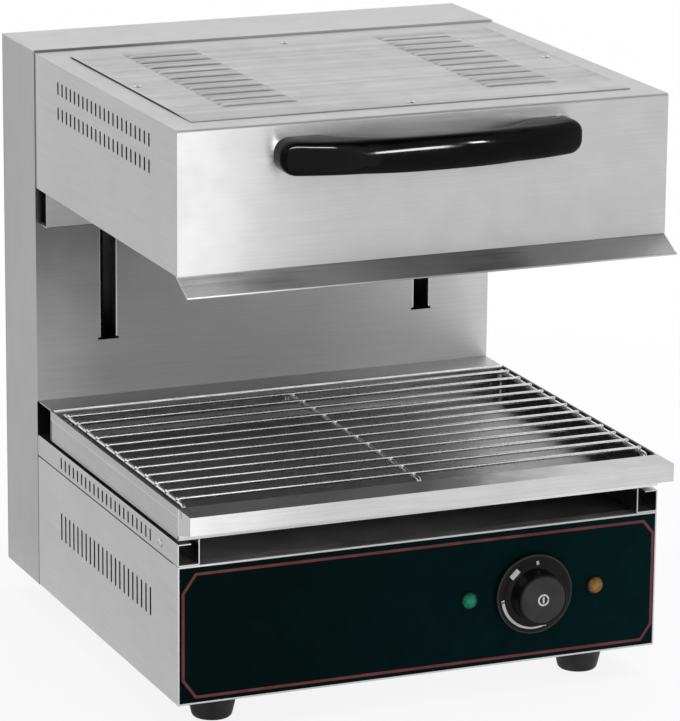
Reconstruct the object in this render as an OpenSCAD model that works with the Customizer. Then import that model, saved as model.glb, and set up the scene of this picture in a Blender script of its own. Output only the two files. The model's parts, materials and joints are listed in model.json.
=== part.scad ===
// Lift-type cheese melter (salamander grill): a heated hood that rides up and down
// in front of a rear column, balanced by a counterweight on two wire ropes, over a
// base with a pull-out tray, a wire grid and one control knob.
// Frame: millimetres, +Z up, front towards -Y, origin on the floor under the middle.

/* [Overall size] */
// Width over the casing
body_w = 450; // [430:1:520]
// Depth of the base and hood, front face to column
base_d = 362; // [350:1:380]
// Depth of the rear column
column_d = 90; // [88:1:110]
// Height of the base casing, without feet
base_h = 124; // [118:1:134]
// Height of the column, without feet
column_h = 500; // [490:1:540]
// Height of the rubber feet
foot_h = 30; // [24:1:36]
// Casing sheet thickness
sheet = 1; // [0.8:0.1:1.2]

/* [Hood] */
// Height of the hood's walls
hood_h = 123; // [118:1:130]
// How far the hood travels
lift_travel = 145; // [100:1:147]
// Reach of the drip lip in front of the hood
lip_reach = 23; // [15:1:28]
// Drop of the drip lip's front edge
lip_drop = 13; // [8:1:16]
// Outer radius of the bend along the hood's top front edge
hood_bend = 3; // [2:0.5:6]
// Distance from the hood's side to the louvred top plate
plate_side = 23; // [20:1:30]
// Distance from the hood's front to the louvred top plate
plate_front = 28; // [22:1:32]
// Distance from the louvred top plate to the column
plate_back = 31; // [26:1:34]
// Rows of louvres
louvre_rows = 10; // [6:1:10]
// Distance between louvre rows
louvre_pitch = 25; // [20:0.5:25]
// Length of one louvre
louvre_len = 70; // [50:1:80]
// Height that a louvre stands up
louvre_rise = 2.4; // [2:0.1:3]
// Depth of one louvre, from its foot to its open rear edge
louvre_depth = 6; // [5:0.5:8]
// Depth of the shield that hangs behind the cooking space
shield_drop = 34; // [24:1:40]

/* [Handle] */
// Length of the handle
handle_len = 280; // [240:1:320]
// Height of the handle
handle_h = 30; // [26:1:34]
// Reach of the grip in front of the hood
handle_out = 42; // [38:1:48]
// Thickness of the grip
grip_t = 14; // [12:1:16]

/* [Vents] */
// Slots in one row
vent_count = 22; // [16:1:22]
// Distance between slots
vent_pitch = 11; // [9:0.5:11]
// Width of a slot
vent_w = 3.5; // [2.5:0.5:4.5]
// Length of a hood slot
hood_vent_len = 12; // [10:1:13]
// Length of a base slot
base_vent_len = 26; // [20:1:34]

/* [Rails, tray and grid] */
// Height of the side rails' outer wall
rail_h = 19.5; // [17.5:0.5:22]
// Gap between rail and tray side
tray_gap = 3.5; // [2.5:0.5:4.5]
// Height of the tray
tray_h = 28.5; // [26:0.5:32]
// Depth of the tray's pan
tray_d = 324; // [316:1:326]
// Reach of the tray's grip in front of the base
tray_grip = 30; // [24:1:34]
// Height of the grip's front face
grip_drop = 16; // [12:1:18]
// Diameter of the grid's cross wires
wire_d = 3; // [2.5:0.5:3.5]
// Diameter of the grid's frame wire
frame_wire_d = 4; // [3:0.5:5]
// Cross wires in the grid
wire_count = 12; // [8:1:14]

/* [Controls] */
// Knob skirt diameter
knob_d = 73; // [64:1:76]
// Knob grip diameter
knob_grip_d = 49; // [42:1:52]
// Reach of the knob
knob_out = 25; // [22:1:28]
// Lamp lens diameter
lamp_d = 16.6; // [14:0.2:18]
// Knob centre, right of the middle
knob_x = 105; // [98:1:112]
// Knob and lamp height above the casing's underside
knob_z = 63; // [58:1:66]
// Distance from knob to either lamp
lamp_dx = 60.5; // [56:0.5:66]

/* [Lift] */
// Distance of each slot, rod and arm from the middle
rod_x = 156; // [150:1:170]
// Guide rod diameter
rod_d = 16; // [12:1:18]
// Width of the slots in the column
slot_w = 14.5; // [12:0.5:18]
// Thickness of the lift arms
arm_t = 6; // [4:0.5:8]
// Height of the lift arms
arm_h = 40; // [32:1:46]
// Distance of each pulley from the middle
pulley_x = 60; // [50:1:75]
// Rope pitch radius on the pulley
pitch_r = 18; // [17:0.5:19]
// Wire rope diameter
rope_d = 2.5; // [2:0.1:3]
// Pulley axle diameter
axle_d = 8; // [6:0.5:8]
// Counterweight width
weight_w = 200; // [160:1:206]
// Counterweight height
weight_h = 215; // [180:1:220]
// Counterweight thickness
weight_t = 28; // [24:1:29]

/* [Hidden] */
$fn = 32;

// Clearances
seat = 0.2;        // between sheets that lie on each other
seam = 0.4;        // between the base's side panels and the column
run_fit = 0.05;    // radial, shaft in bore
hole_fit = 0.2;    // radial, screw in its hole
rope_gap = 0.35;   // rope to groove
eps = 0.01;

// Colours
steel = [0.74, 0.75, 0.76];
dark_steel = [0.45, 0.46, 0.47];
black = [0.07, 0.07, 0.08];
film = [0.02, 0.09, 0.09];
bright = [0.86, 0.87, 0.88];
brass = [0.80, 0.66, 0.35];
wool = [0.86, 0.83, 0.72];
plastic = [0.90, 0.90, 0.86];
iron = [0.36, 0.37, 0.38];

// Levels, from the floor up
z_case = foot_h;
z_deck = z_case + base_h;
z_top = z_case + column_h;
z_tray = z_deck + rail_h + tray_gap;
z_rim = z_tray + tray_h;
hood_gap = 1;
z_hood_top = z_top - hood_gap - sheet;
z_hood = z_hood_top - hood_h;
z_shield = z_hood - shield_drop;

// Depths, from the front face back
screw_head_h = 1.8;
back_y = base_d + column_d;
total_d = handle_out + back_y + screw_head_h;
front_y = handle_out - total_d / 2;
half_w = body_w / 2;

// Fasteners
m4_r = 2;
m4_head_r = 4;
m5_r = 2.5;
m5_head_r = 5;

// Folded flanges
flange = 12;

// Vents
vent_first = 66.5;
hood_vent_mid = 20.5;
hood_vent_step = 22.5;
base_vent_z = 74;
rail_vent_len = 11;
rail_vent_z = 9.6;

// Lift gear
plate_t = 4;
rod_y = base_d + 38;
slot_flange = 8;
stop_gap = 2.5;
z_arm = z_hood;
z_slot = z_arm - lift_travel - stop_gap;
z_slot_top = z_arm + arm_h + stop_gap;
carriage_y = rod_y - 20;
carriage_w = 2 * rod_x + 58;
z_carriage = z_hood - 3;
carriage_h = 66;
bush_r = 15;
bush_h = 60;
beam_t = 3;
beam_flange = 16;
beam_d = 28;
bumper_h = 15;
z_lower = z_carriage + 3 - lift_travel - bumper_h - seat;
head_drop = 8;
z_head = z_top - sheet - head_drop;
beam_end = half_w - sheet - seat;
pulley_r = pitch_r + 3;
pulley_w = 10;
pulley_y = rod_y + 14;
bracket_t = 2;
z_pulley = z_head - beam_t - bracket_t - pulley_r - 4;
front_rope_y = pulley_y - pitch_r;
rear_rope_y = pulley_y + pitch_r;
anchor_h = 22;
z_anchor = z_carriage + carriage_h - 8;
weight_anchor_h = 20;
anchor_bolt_r = 4;
anchor_bolt_len = 12;
weight_clear = 5;  // from the pulley to the anchors when the hood is down
z_weight = z_pulley - pulley_r - weight_clear - lift_travel - weight_anchor_h - weight_h;
weight_run = 0.6;
guide_t = 1.5;
guide_lip = 10;

// Hood inside
cross_y = base_d - 19;
cross_d = 17.4;
cross_h = 77;
cross_end = half_w - 3.5;
shield_y = cross_y - sheet;
reflector_rise = 65;
reflector_top = z_hood + reflector_rise;
reflector_in = 21;
element_rise = 25;
element_z = z_hood + element_rise;
element_r = 4;
element_count = 4;
element_side = 29;
element_pitch = (body_w - 2 * element_side) / element_count;
element_half = 24;
element_front = 48;
element_back = base_d - 52;
bend_r = 12;
terminal_h = 6;    // heater ends above the insulation
strip_in = 60;     // support strips, from either end of the heater legs
strip_t = 1.5;
strip_margin = 8;
pad_h = 26;
pad_side = 32;
pad_front = 12;
pad_back = 10;

// Top plate, and the four screws in the lap that it rests on, seen from above
top_plate_w = body_w - 2 * plate_side;
top_plate_d = base_d - plate_front - plate_back;
plate_lap = 17;
plate_mid_y = plate_front + top_plate_d / 2;
plate_screw_x = (top_plate_w - plate_lap) / 2;
plate_screw_y = (top_plate_d - plate_lap) / 2;
top_screw_at = [[-plate_screw_x, plate_mid_y], [plate_screw_x, plate_mid_y],
    [0, plate_mid_y - plate_screw_y], [0, plate_mid_y + plate_screw_y]];

// Feet
foot_x = half_w - 50;
foot_y = [50, back_y - 50];
foot_r = 24;
foot_tip_r = 18;
foot_recess = 12;
foot_recess_r = 9;

// Tray and grid
tray_back = 2 + tray_d;
grip_lip = 6;
grip_end = 24;     // height of the grip's end plates at the pan
side_hem = 8.5;    // outer layer along the top of the tray's sides
grid_side = 8;
grid_front = 12;
grid_back = tray_back - 15;
wire_first = grid_front + 11;
wire_last = grid_back - 12;
z_grid = z_rim;   // the cross wires' middle is level with the tray's rim
corner_r = 8;
weld = 0.5;

// ---------- helpers ----------

// Puts what is modelled from the front face, y = 0, into the shared frame
module from_front() translate([0, front_y, 0]) children();

// Both hands of a piece that stands left and right
module both_sides() {
    children();
    mirror([1, 0, 0]) children();
}

function unit(v) = v / norm(v);
function left_of(v) = [-v[1], v[0]];

// Outline of a folded sheet: path points, with its thickness on the path's left side
function folded(path, t) = let (
    last = len(path) - 1,
    side = [for (i = [0:last - 1]) left_of(unit(path[i + 1] - path[i]))],
    inner = [for (i = [0:last])
        let (a = side[max(i - 1, 0)], b = side[min(i, last - 1)])
        path[i] + t * (a + b) / (1 + a * b)])
    concat(path, [for (i = [last:-1:0]) inner[i]]);

// A YZ outline drawn out along X, centred
module along_x(length) rotate([90, 0, 90]) linear_extrude(length, center = true) children();

// An XZ outline drawn out along Y
module along_y(from, to) translate([0, to, 0]) rotate([90, 0, 0])
    linear_extrude(to - from) children();

// Upright slot with round ends
module slot_shape(width, length) {
    square([width, length - width], center = true);
    for (s = [-1, 1]) translate([0, s * (length - width) / 2]) circle(d = width);
}

// A row of upright slots; the first lies at the origin
module vent_row(width, length) {
    for (i = [0:vent_count - 1]) translate([i * vent_pitch, 0]) slot_shape(width, length);
}

// Cutter for a vent row through the right-hand wall
module side_vents(z, length) translate([half_w - 2 * sheet, vent_first, z])
    rotate([90, 0, 90]) linear_extrude(3 * sheet) vent_row(vent_w, length);

// Pan-head screw: head above z = 0, shank below
module pan_screw(shank_r, head_r, head_h, length) {
    rotate_extrude() polygon([[0, 0], [head_r, 0], [head_r, head_h * 0.45],
        [head_r * 0.72, head_h * 0.9], [0, head_h]]);
    translate([0, 0, -length]) cylinder(r = shank_r, h = length);
}

// ---------- base ----------

module base_side() from_front() difference() {
    along_y(sheet, base_d - seam) polygon(folded([[half_w - flange, z_case], [half_w, z_case],
        [half_w, z_deck - sheet], [half_w - flange, z_deck - sheet]], sheet));
    side_vents(z_case + base_vent_z, base_vent_len);
}
module base_side_left() color(steel) mirror([1, 0, 0]) base_side();
module base_side_right() color(steel) base_side();

module floor_plate() color(steel) from_front() difference() {
    translate([-half_w + sheet + seat, flange + seat, z_case + sheet])
        cube([body_w - 2 * (sheet + seat), back_y - flange - 2 * sheet - 2 * seat, sheet]);
    for (x = [-foot_x, foot_x], y = foot_y)
        translate([x, y, z_case]) cylinder(r = m5_r + hole_fit, h = 3 * sheet);
}

module base_deck() color(steel) from_front()
    translate([-half_w, flange + seat, z_deck - sheet])
        cube([body_w, base_d - flange - 2 * seat, sheet]);

module panel_holes(y, depth) {
    translate([knob_x, y, z_case + knob_z]) rotate([-90, 0, 0]) cylinder(r = 5, h = depth);
    for (dx = [-lamp_dx, lamp_dx]) translate([knob_x + dx, y, z_case + knob_z])
        rotate([-90, 0, 0]) cylinder(r = lamp_d / 2 - 2, h = depth);
}

module front_panel() color(steel) from_front() difference() {
    union() {
        translate([-half_w, 0, z_case]) cube([body_w, sheet, base_h]);
        translate([-half_w, 0, z_deck - sheet]) cube([body_w, flange, sheet]);
        translate([-half_w + flange + seat, 0, z_case])
            cube([body_w - 2 * (flange + seat), flange, sheet]);
    }
    panel_holes(-sheet, 3 * sheet);
}

fascia_t = 0.4;
module control_fascia() color(film) from_front() difference() {
    translate([-half_w + 1.5, -fascia_t, z_case + 2])
        cube([body_w - 3, fascia_t, base_h - 4]);
    panel_holes(-sheet, sheet + eps);
}

rail_inner = 19.8;
module side_rail() from_front() difference() {
    along_y(0, base_d - seat) polygon(folded([
        [half_w - rail_inner, z_tray - seat], [half_w - rail_inner, z_deck],
        [half_w, z_deck], [half_w, z_deck + rail_h], [half_w - flange, z_deck + rail_h]],
        sheet));
    side_vents(z_deck + rail_vent_z, rail_vent_len);
    translate([half_w, case_screw_y, z_deck + case_screw_z]) rotate([0, 90, 0])
        cylinder(r = m4_r + hole_fit, h = 4 * sheet, center = true);
}
module side_rail_left() color(steel) mirror([1, 0, 0]) side_rail();
module side_rail_right() color(steel) side_rail();

case_screw_y = 42.6;
case_screw_z = 9;
module case_screws() color(bright) from_front() both_sides()
    translate([half_w, case_screw_y, z_deck + case_screw_z]) rotate([0, 90, 0])
        pan_screw(m4_r, m4_head_r, screw_head_h, 8);

// Ledge that closes the gap behind the tray; its lower wall stands between the rails
module rear_ledge() color(dark_steel) from_front() {
    ledge_y = tray_back + 2;
    along_x(body_w - 2 * sheet) polygon(folded([[base_d - seat, z_rim], [ledge_y, z_rim],
        [ledge_y, z_tray]], sheet));
    along_x(body_w - 2 * rail_inner - 2 * seat) polygon(folded([[ledge_y, z_tray + sheet],
        [ledge_y, z_deck], [ledge_y + flange, z_deck]], sheet));
}

module rubber_feet() color(black) from_front()
    for (x = [-foot_x, foot_x], y = foot_y) translate([x, y, 0]) difference() {
        rotate_extrude() polygon([[0, 0], [foot_tip_r - 3, 0], [foot_tip_r - 0.9, 0.9],
            [foot_tip_r, 3], [foot_r, z_case + sheet], [0, z_case + sheet]]);
        translate([0, 0, -eps]) cylinder(r = foot_recess_r, h = foot_recess + 2 * eps);
        cylinder(r = m5_r + hole_fit, h = z_case + 2 * sheet);
    }

module foot_screws() color(bright) from_front()
    for (x = [-foot_x, foot_x], y = foot_y) translate([x, y, foot_recess]) mirror([0, 0, 1])
        pan_screw(m5_r, m5_head_r, 3, z_case + 2 * sheet - foot_recess + 5);

// ---------- controls ----------

reg_w = 44;
reg_d = 32;
reg_bore = 18;
shaft_r = 3;
knob_gap = 1.5;

module energy_regulator() color(plastic) from_front()
    translate([knob_x, 0, z_case + knob_z]) difference() {
        union() {
            translate([-reg_w / 2, sheet + seat, -reg_w / 2]) cube([reg_w, reg_d, reg_w]);
            rotate([-90, 0, 0]) cylinder(r = 4.6, h = 2 * sheet);
            for (x = [-12, 0, 12]) translate([x - 3, sheet + reg_d, -4]) cube([6.3, 9, 0.8]);
        }
        translate([0, -eps, 0]) rotate([-90, 0, 0])
            cylinder(r = shaft_r + run_fit, h = reg_bore);
    }

module regulator_shaft() color(bright) from_front()
    translate([knob_x, -knob_out + 6, z_case + knob_z]) rotate([-90, 0, 0])
        cylinder(r = shaft_r, h = knob_out - 6 + reg_bore - 2);

module knob() color(black) from_front()
    translate([knob_x, -fascia_t - knob_gap, z_case + knob_z]) rotate([90, 0, 0]) difference() {
        top = knob_out - fascia_t - knob_gap;
        rotate_extrude($fn = 96) polygon([[0, 0], [knob_d / 2, 0], [knob_d / 2, 2.4],
            [knob_d / 2 - 1.4, 3.8], [knob_d / 2 - 8, 4.6], [knob_grip_d / 2 + 2.4, 5.4],
            [knob_grip_d / 2 + 0.8, 7], [knob_grip_d / 2, top - 2],
            [knob_grip_d / 2 - 2, top], [8, top], [7, top - 0.8], [0, top - 0.8]]);
        translate([0, 0, -eps]) cylinder(r = shaft_r + eps, h = top - 6 + 2 * eps);
    }

module lamp(dx) from_front() translate([knob_x + dx, -fascia_t, z_case + knob_z])
    rotate([90, 0, 0]) rotate_extrude() polygon([[0, 0], [lamp_d / 2, 0],
        [lamp_d / 2, 1], [lamp_d / 2 - 1, 2], [lamp_d / 2 - 3, 3.4], [2, 4.2], [0, 4.2]]);
module lamp_green() color([0.05, 0.55, 0.38]) lamp(-lamp_dx);
module lamp_amber() color([0.85, 0.55, 0.20]) lamp(lamp_dx);

holder_len = 24;
tab_t = 0.8;
tab_len = 8;
module lamp_holders() color(plastic) from_front() for (dx = [-lamp_dx, lamp_dx])
    translate([knob_x + dx, -fascia_t, z_case + knob_z]) rotate([-90, 0, 0]) {
        cylinder(r = lamp_d / 2 - 2 - hole_fit, h = holder_len);
        translate([0, 0, fascia_t + sheet + seat]) cylinder(r = lamp_d / 2, h = 3);
        for (x = [-3, 3]) translate([x - tab_t / 2, -2, holder_len - eps])
            cube([tab_t, 4, tab_len]);
    }

// The inlet's parts, measured from the casing's right-hand side
term_x = half_w - 75;
stud_x = half_w - 35;
module terminal_block() color(plastic) from_front()
    translate([term_x - 24, base_d + 12, z_case + 2 * sheet]) difference() {
        union() {
            cube([48, 22, 8]);
            for (i = [0:3]) translate([1.5 + i * 12, 3, 8 - eps]) cube([9, 16, 9]);
        }
        for (i = [0:3]) translate([6 + i * 12, 11, 9]) cylinder(r = 2.6, h = 12);
    }

gland_z = 34;
module cable_gland() color(black) from_front()
    translate([term_x, back_y, z_case + gland_z]) rotate([-90, 0, 0]) difference() {
        union() {
            translate([0, 0, -sheet - 9]) cylinder(r = 8, h = sheet + 9);
            translate([0, 0, -sheet - 5]) cylinder(r = 12, h = 5 - seat, $fn = 6);
            cylinder(r = 12, h = screw_head_h, $fn = 6);
        }
        translate([0, 0, -12]) cylinder(r = 4.5, h = 20);
    }

module bonding_stud() color(brass) from_front()
    translate([stud_x, back_y, z_case + gland_z]) rotate([-90, 0, 0]) {
        translate([0, 0, -sheet - 8]) cylinder(r = 3, h = sheet + 8 + screw_head_h);
        translate([0, 0, -sheet - 4.5]) cylinder(r = 5.5, h = 4.5 - seat, $fn = 6);
    }

// ---------- column ----------

module column_shell() color(steel) from_front() {
    along_y(base_d + sheet, back_y - sheet) polygon(folded([[half_w, z_case],
        [half_w, z_top], [-half_w, z_top], [-half_w, z_case]], sheet));
    difference() {
        both_sides() translate([half_w - flange, back_y - 2 * sheet, z_case + 2 * sheet + seat])
            cube([flange - sheet / 2, sheet, column_h - 3 * sheet]);
        for (p = cover_screw_at) translate([p[0], back_y, p[1]]) rotate([90, 0, 0])
            cylinder(r = m4_r + hole_fit, h = 3 * sheet);
    }
}

// Slot through the column's front: a straight run with small side cuts at its foot
module slot_cut() {
    translate([rod_x - slot_w / 2, z_slot]) square([slot_w, z_slot_top - z_slot]);
    translate([rod_x - slot_w / 2 - 2.7, z_slot]) square([slot_w + 5.4, 2.3]);
}

module column_front() color(steel) from_front() {
    along_y(base_d, base_d + sheet) difference() {
        translate([-half_w, z_case]) square([body_w, column_h]);
        translate([-half_w + sheet, z_case - 1])
            square([body_w - 2 * sheet, 2 * sheet + seat + 1]);
        slot_cut();
        mirror([1, 0, 0]) slot_cut();
    }
    both_sides() for (x = [rod_x - slot_w / 2 - sheet, rod_x + slot_w / 2])
        translate([x, base_d + sheet / 2, z_slot + 2.3])
            cube([sheet, slot_flange, z_slot_top - z_slot - 2.3]);
}

cover_screw_at = [for (x = [-(half_w - 7), half_w - 7], k = [0:3])
    [x, z_case + 30 + k * (column_h - 60) / 3]];

module rear_cover() color(steel) from_front() difference() {
    along_y(back_y - sheet, back_y) difference() {
        translate([-half_w, z_case]) square([body_w, column_h]);
        for (x = [-90, 90], k = [0:5], z = [z_case + 90, z_top - 120])
            translate([x, z + k * 12]) rotate(90) slot_shape(4, 90);
        for (p = cover_screw_at) translate(p) circle(r = m4_r + hole_fit);
        translate([term_x, z_case + gland_z]) circle(r = 8 + hole_fit);
        translate([stud_x, z_case + gland_z]) circle(r = 3 + hole_fit);
    }
}

module rear_screws() color(bright) from_front() for (p = cover_screw_at)
    translate([p[0], back_y, p[1]]) rotate([-90, 0, 0])
        pan_screw(m4_r, m4_head_r, screw_head_h, 6);

module guide_rods() color(bright) from_front() both_sides()
    translate([rod_x, rod_y, z_lower]) cylinder(d = rod_d, h = z_head - beam_t - z_lower);

// Channel across the column, open downwards, with its top face at z
module beam(depth_from, depth_to, z) along_x(2 * beam_end) polygon(folded([
    [depth_to, z - beam_flange], [depth_to, z], [depth_from, z], [depth_from, z - beam_flange]],
    beam_t));

module head_beam() color(dark_steel) from_front() difference() {
    beam(rod_y - beam_d / 2, back_y - 3 * sheet, z_head);
    both_sides() translate([rod_x, rod_y, z_head - 2 * beam_t])
        cylinder(r = 3 + hole_fit, h = 3 * beam_t);
}

module lower_beam() color(dark_steel) from_front() difference() {
    beam(rod_y - beam_d / 2, rod_y + beam_d / 2, z_lower);
    both_sides() translate([rod_x, rod_y, z_lower - 2 * beam_t])
        cylinder(r = 3 + hole_fit, h = 3 * beam_t);
}

module rod_screws() color(dark_steel) from_front() both_sides() {
    translate([rod_x, rod_y, z_head]) cylinder(r = 5.7, h = 4, $fn = 6);
    translate([rod_x, rod_y, z_head - beam_t]) cylinder(r = 3, h = beam_t + eps);
    translate([rod_x, rod_y, z_lower - beam_t - 4]) cylinder(r = 5.7, h = 4, $fn = 6);
    translate([rod_x, rod_y, z_lower - beam_t - eps]) cylinder(r = 3, h = beam_t + eps);
}

module rod_bumpers() color(black) from_front() both_sides()
    translate([rod_x, rod_y, z_lower]) difference() {
        cylinder(r = bush_r - 2, h = bumper_h);
        translate([0, 0, -1]) cylinder(r = rod_d / 2 + seat, h = bumper_h + 2);
    }

module pulley_brackets() color(dark_steel) from_front() both_sides() difference() {
    union() {
        top = z_head - beam_t;
        for (s = [-1, 1]) translate([pulley_x + s * (pulley_w / 2 + 2) - bracket_t / 2,
            pulley_y - 12, z_pulley - 9]) cube([bracket_t, 24, top - z_pulley + 9]);
        translate([pulley_x - pulley_w / 2 - 2, pulley_y - 12, top - bracket_t])
            cube([pulley_w + 4, 24, bracket_t]);
    }
    translate([pulley_x, pulley_y, z_pulley]) rotate([0, 90, 0])
        cylinder(r = axle_d / 2 + run_fit, h = 3 * pulley_w, center = true);
}

module pulley_axles() color(bright) from_front() both_sides()
    translate([pulley_x, pulley_y, z_pulley]) rotate([0, 90, 0]) {
        cylinder(d = axle_d, h = pulley_w + 2 * (2 + bracket_t) + 2, center = true);
        translate([0, 0, pulley_w / 2 + 2 + bracket_t / 2 + seat])
            cylinder(r = axle_d / 2 + 2, h = 2);
    }

module rope_wraps() color(bright) from_front() both_sides()
    translate([pulley_x, pulley_y, z_pulley]) rotate([90, 0, 90])
        rotate_extrude(angle = 180) translate([pitch_r, 0]) circle(d = rope_d);

// Channels that the counterweight's edges run in
guide_y = weight_t / 2 + weight_run + guide_t;
module weight_guides() color(dark_steel) from_front() both_sides()
    translate([0, 0, z_case + 2 * sheet])
        linear_extrude(z_head - beam_flange - z_case - 2 * sheet) polygon(folded([
            [weight_w / 2 - guide_lip, rear_rope_y - guide_y],
            [weight_w / 2 + weight_run + guide_t, rear_rope_y - guide_y],
            [weight_w / 2 + weight_run + guide_t, rear_rope_y + guide_y],
            [weight_w / 2 - guide_lip, rear_rope_y + guide_y]], guide_t));

// ---------- hood ----------

hood_d = base_d - hood_gap;
hood_flange = 9;

// Side view of a box whose top front edge is rounded
module hood_side(depth, height, radius) {
    translate([radius, 0]) square([depth - radius, height]);
    square([depth, height - radius]);
    translate([radius, height - radius]) circle(radius);
}

module hood_shell() color(steel) from_front() difference() {
    translate([0, 0, z_hood]) along_x(body_w) hood_side(hood_d, hood_h, hood_bend);
    translate([0, sheet, z_hood + sheet]) along_x(body_w - 2 * sheet)
        hood_side(hood_d, hood_h - 2 * sheet, hood_bend - sheet);
    translate([-half_w + hood_flange, sheet, z_hood - sheet])
        cube([body_w - 2 * hood_flange, hood_d, 3 * sheet]);
    translate([-half_w + sheet, shield_y - 2, z_hood - sheet])
        cube([body_w - 2 * sheet, hood_d, 3 * sheet]);
    translate([-top_plate_w / 2 + plate_lap, plate_front + plate_lap, z_hood_top - 3 * sheet])
        cube([top_plate_w - 2 * plate_lap, top_plate_d - 2 * plate_lap, 6 * sheet]);
    both_sides() for (k = [0, 1])
        side_vents(z_hood_top - hood_vent_mid - k * hood_vent_step, hood_vent_len);
    for (p = top_screw_at) translate([p[0], p[1], z_hood_top - 3 * sheet])
        cylinder(r = m4_r + hole_fit, h = 6 * sheet);
    for (x = [-handle_screw_x, handle_screw_x]) translate([x, -1, z_handle])
        rotate([-90, 0, 0]) cylinder(r = m5_r + hole_fit, h = 3);
}

// Pressed louvre: its front rises as a quarter ellipse from the plate to the open rear edge,
// and its ends slope. Its foot lies at y = 0.
louvre_x = top_plate_w / 2 - 80;
louvre_first = plate_front + 46.5;
louvre_fade = 6;
louvre_sill = 0.3;
function louvre_arc(skin) = [for (i = [0:4]) let (a = 90 * i / 4)
    [louvre_depth - (louvre_depth - skin) * cos(a), (louvre_rise - skin) * sin(a)]];
module louvre_ends(skin, below) along_y(-1, louvre_depth + 2) polygon([
    [-louvre_len / 2 + skin, -below], [louvre_len / 2 - skin, -below],
    [louvre_len / 2 - skin, 0], [louvre_len / 2 - louvre_fade, louvre_rise - skin],
    [louvre_fade - louvre_len / 2, louvre_rise - skin], [skin - louvre_len / 2, 0]]);
module louvre_outside() intersection() {
    along_x(louvre_len) polygon(concat([[louvre_depth, -sheet / 2], [0, -sheet / 2]],
        louvre_arc(0)));
    louvre_ends(0, sheet);
}
module louvre_inside() intersection() {
    skin = 1.1 * sheet;
    cut = louvre_depth + 1;
    along_x(louvre_len) polygon(concat([[louvre_depth - 0.4, -2 * sheet], [skin, -2 * sheet]],
        louvre_arc(skin), [[cut, louvre_rise - skin], [cut, louvre_sill],
        [louvre_depth - 0.4, louvre_sill]]));
    louvre_ends(skin, 3 * sheet);
}
module each_louvre() for (x = [-louvre_x, louvre_x], k = [0:louvre_rows - 1])
    translate([x, louvre_first + k * louvre_pitch, z_hood_top + sheet]) children();

module hood_top_plate() color(steel) from_front() difference() {
    union() {
        translate([-top_plate_w / 2, plate_front, z_hood_top])
            cube([top_plate_w, top_plate_d, sheet]);
        each_louvre() louvre_outside();
    }
    each_louvre() louvre_inside();
    for (p = top_screw_at) translate([p[0], p[1], z_hood_top - 1])
        cylinder(r = m4_r + hole_fit, h = 3);
}

module top_screws() color(bright) from_front() for (p = top_screw_at)
    translate([p[0], p[1], z_hood_top + sheet]) pan_screw(m4_r, m4_head_r, screw_head_h, 6);

// Lip with a hemmed front edge; its upright part stands between the hood's bottom flanges
module drip_lip() color(steel) from_front() {
    upright = 12;
    fold_drop = 0.5;
    difference() {
        along_x(body_w) polygon(folded([[sheet + seat, z_hood + upright],
            [sheet + seat, z_hood - fold_drop], [-lip_reach, z_hood - lip_drop]], sheet));
        both_sides() translate([half_w - hood_flange - seat, 0, z_hood - seat])
            cube([hood_flange + 2 * seat, 3 * sheet, upright + 2 * seat]);
    }
    translate([0, -lip_reach, z_hood - lip_drop]) rotate([0, 90, 0])
        cylinder(r = 1.1 * sheet, h = body_w, center = true);
}

module hood_rear_shield() color(steel) from_front() along_x(2 * cross_end)
    polygon(folded([[shield_y, z_hood + 20], [shield_y, z_shield],
        [cross_y + cross_d + 1, z_shield]], sheet));

// Square tube across the back of the hood; its upper part reaches the hood's side walls
module cross_member() color(black) from_front() translate([0, cross_y + seat, 0]) difference() {
    union() {
        translate([-cross_end, 0, z_shield + sheet + seat])
            cube([2 * cross_end, cross_d, cross_h]);
        translate([-beam_end, 0, z_hood + 2 * sheet])
            cube([2 * beam_end, cross_d, z_shield + cross_h - z_hood]);
    }
    translate([-half_w, 2, z_shield + sheet + seat + 2])
        cube([body_w, cross_d - 4, cross_h - 4]);
}

module lift_arm() from_front() {
    back = cross_y + seat + cross_d;
    translate([rod_x - arm_t / 2, back, z_arm]) cube([arm_t, carriage_y - back, arm_h]);
    difference() {
        translate([rod_x - 19, carriage_y - 3, z_arm]) cube([38, 3, arm_h]);
        for (s = [-1, 1], z = [8, arm_h - 8]) translate([rod_x + s * 13, carriage_y, z_arm + z])
            rotate([90, 0, 0]) cylinder(r = m5_r + hole_fit, h = 12, center = true);
    }
}
module lift_arm_left() color(dark_steel) mirror([1, 0, 0]) lift_arm();
module lift_arm_right() color(dark_steel) lift_arm();

module carriage_plate() color(dark_steel) from_front() difference() {
    translate([-carriage_w / 2, carriage_y, z_carriage]) cube([carriage_w, plate_t, carriage_h]);
    both_sides() for (s = [-1, 1], z = [8, arm_h - 8])
        translate([rod_x + s * 13, carriage_y, z_arm + z]) rotate([90, 0, 0])
            cylinder(r = m5_r + hole_fit, h = 3 * plate_t, center = true);
}

// Bushing block with its long bore on the guide rod
module bushings() color(brass) from_front() both_sides()
    translate([rod_x, rod_y, z_carriage + 3]) difference() {
        union() {
            cylinder(r = bush_r, h = bush_h);
            translate([-19, carriage_y + plate_t - rod_y, 0]) cube([38, 8, bush_h]);
        }
        translate([0, 0, -1]) cylinder(r = rod_d / 2 + run_fit, h = bush_h + 2);
        for (s = [-1, 1], z = [8, arm_h - 8])
            translate([s * 13, carriage_y + plate_t - rod_y - 1, z_arm + z - z_carriage - 3])
                rotate([-90, 0, 0]) cylinder(r = m5_r + hole_fit, h = 8);
    }

module carriage_bolts() color(bright) from_front() both_sides()
    for (s = [-1, 1], z = [8, arm_h - 8])
        translate([rod_x + s * 13, carriage_y - 3, z_arm + z]) rotate([90, 0, 0])
            pan_screw(m5_r, m5_head_r - 0.5, 3, 3 + plate_t + 6);

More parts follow.
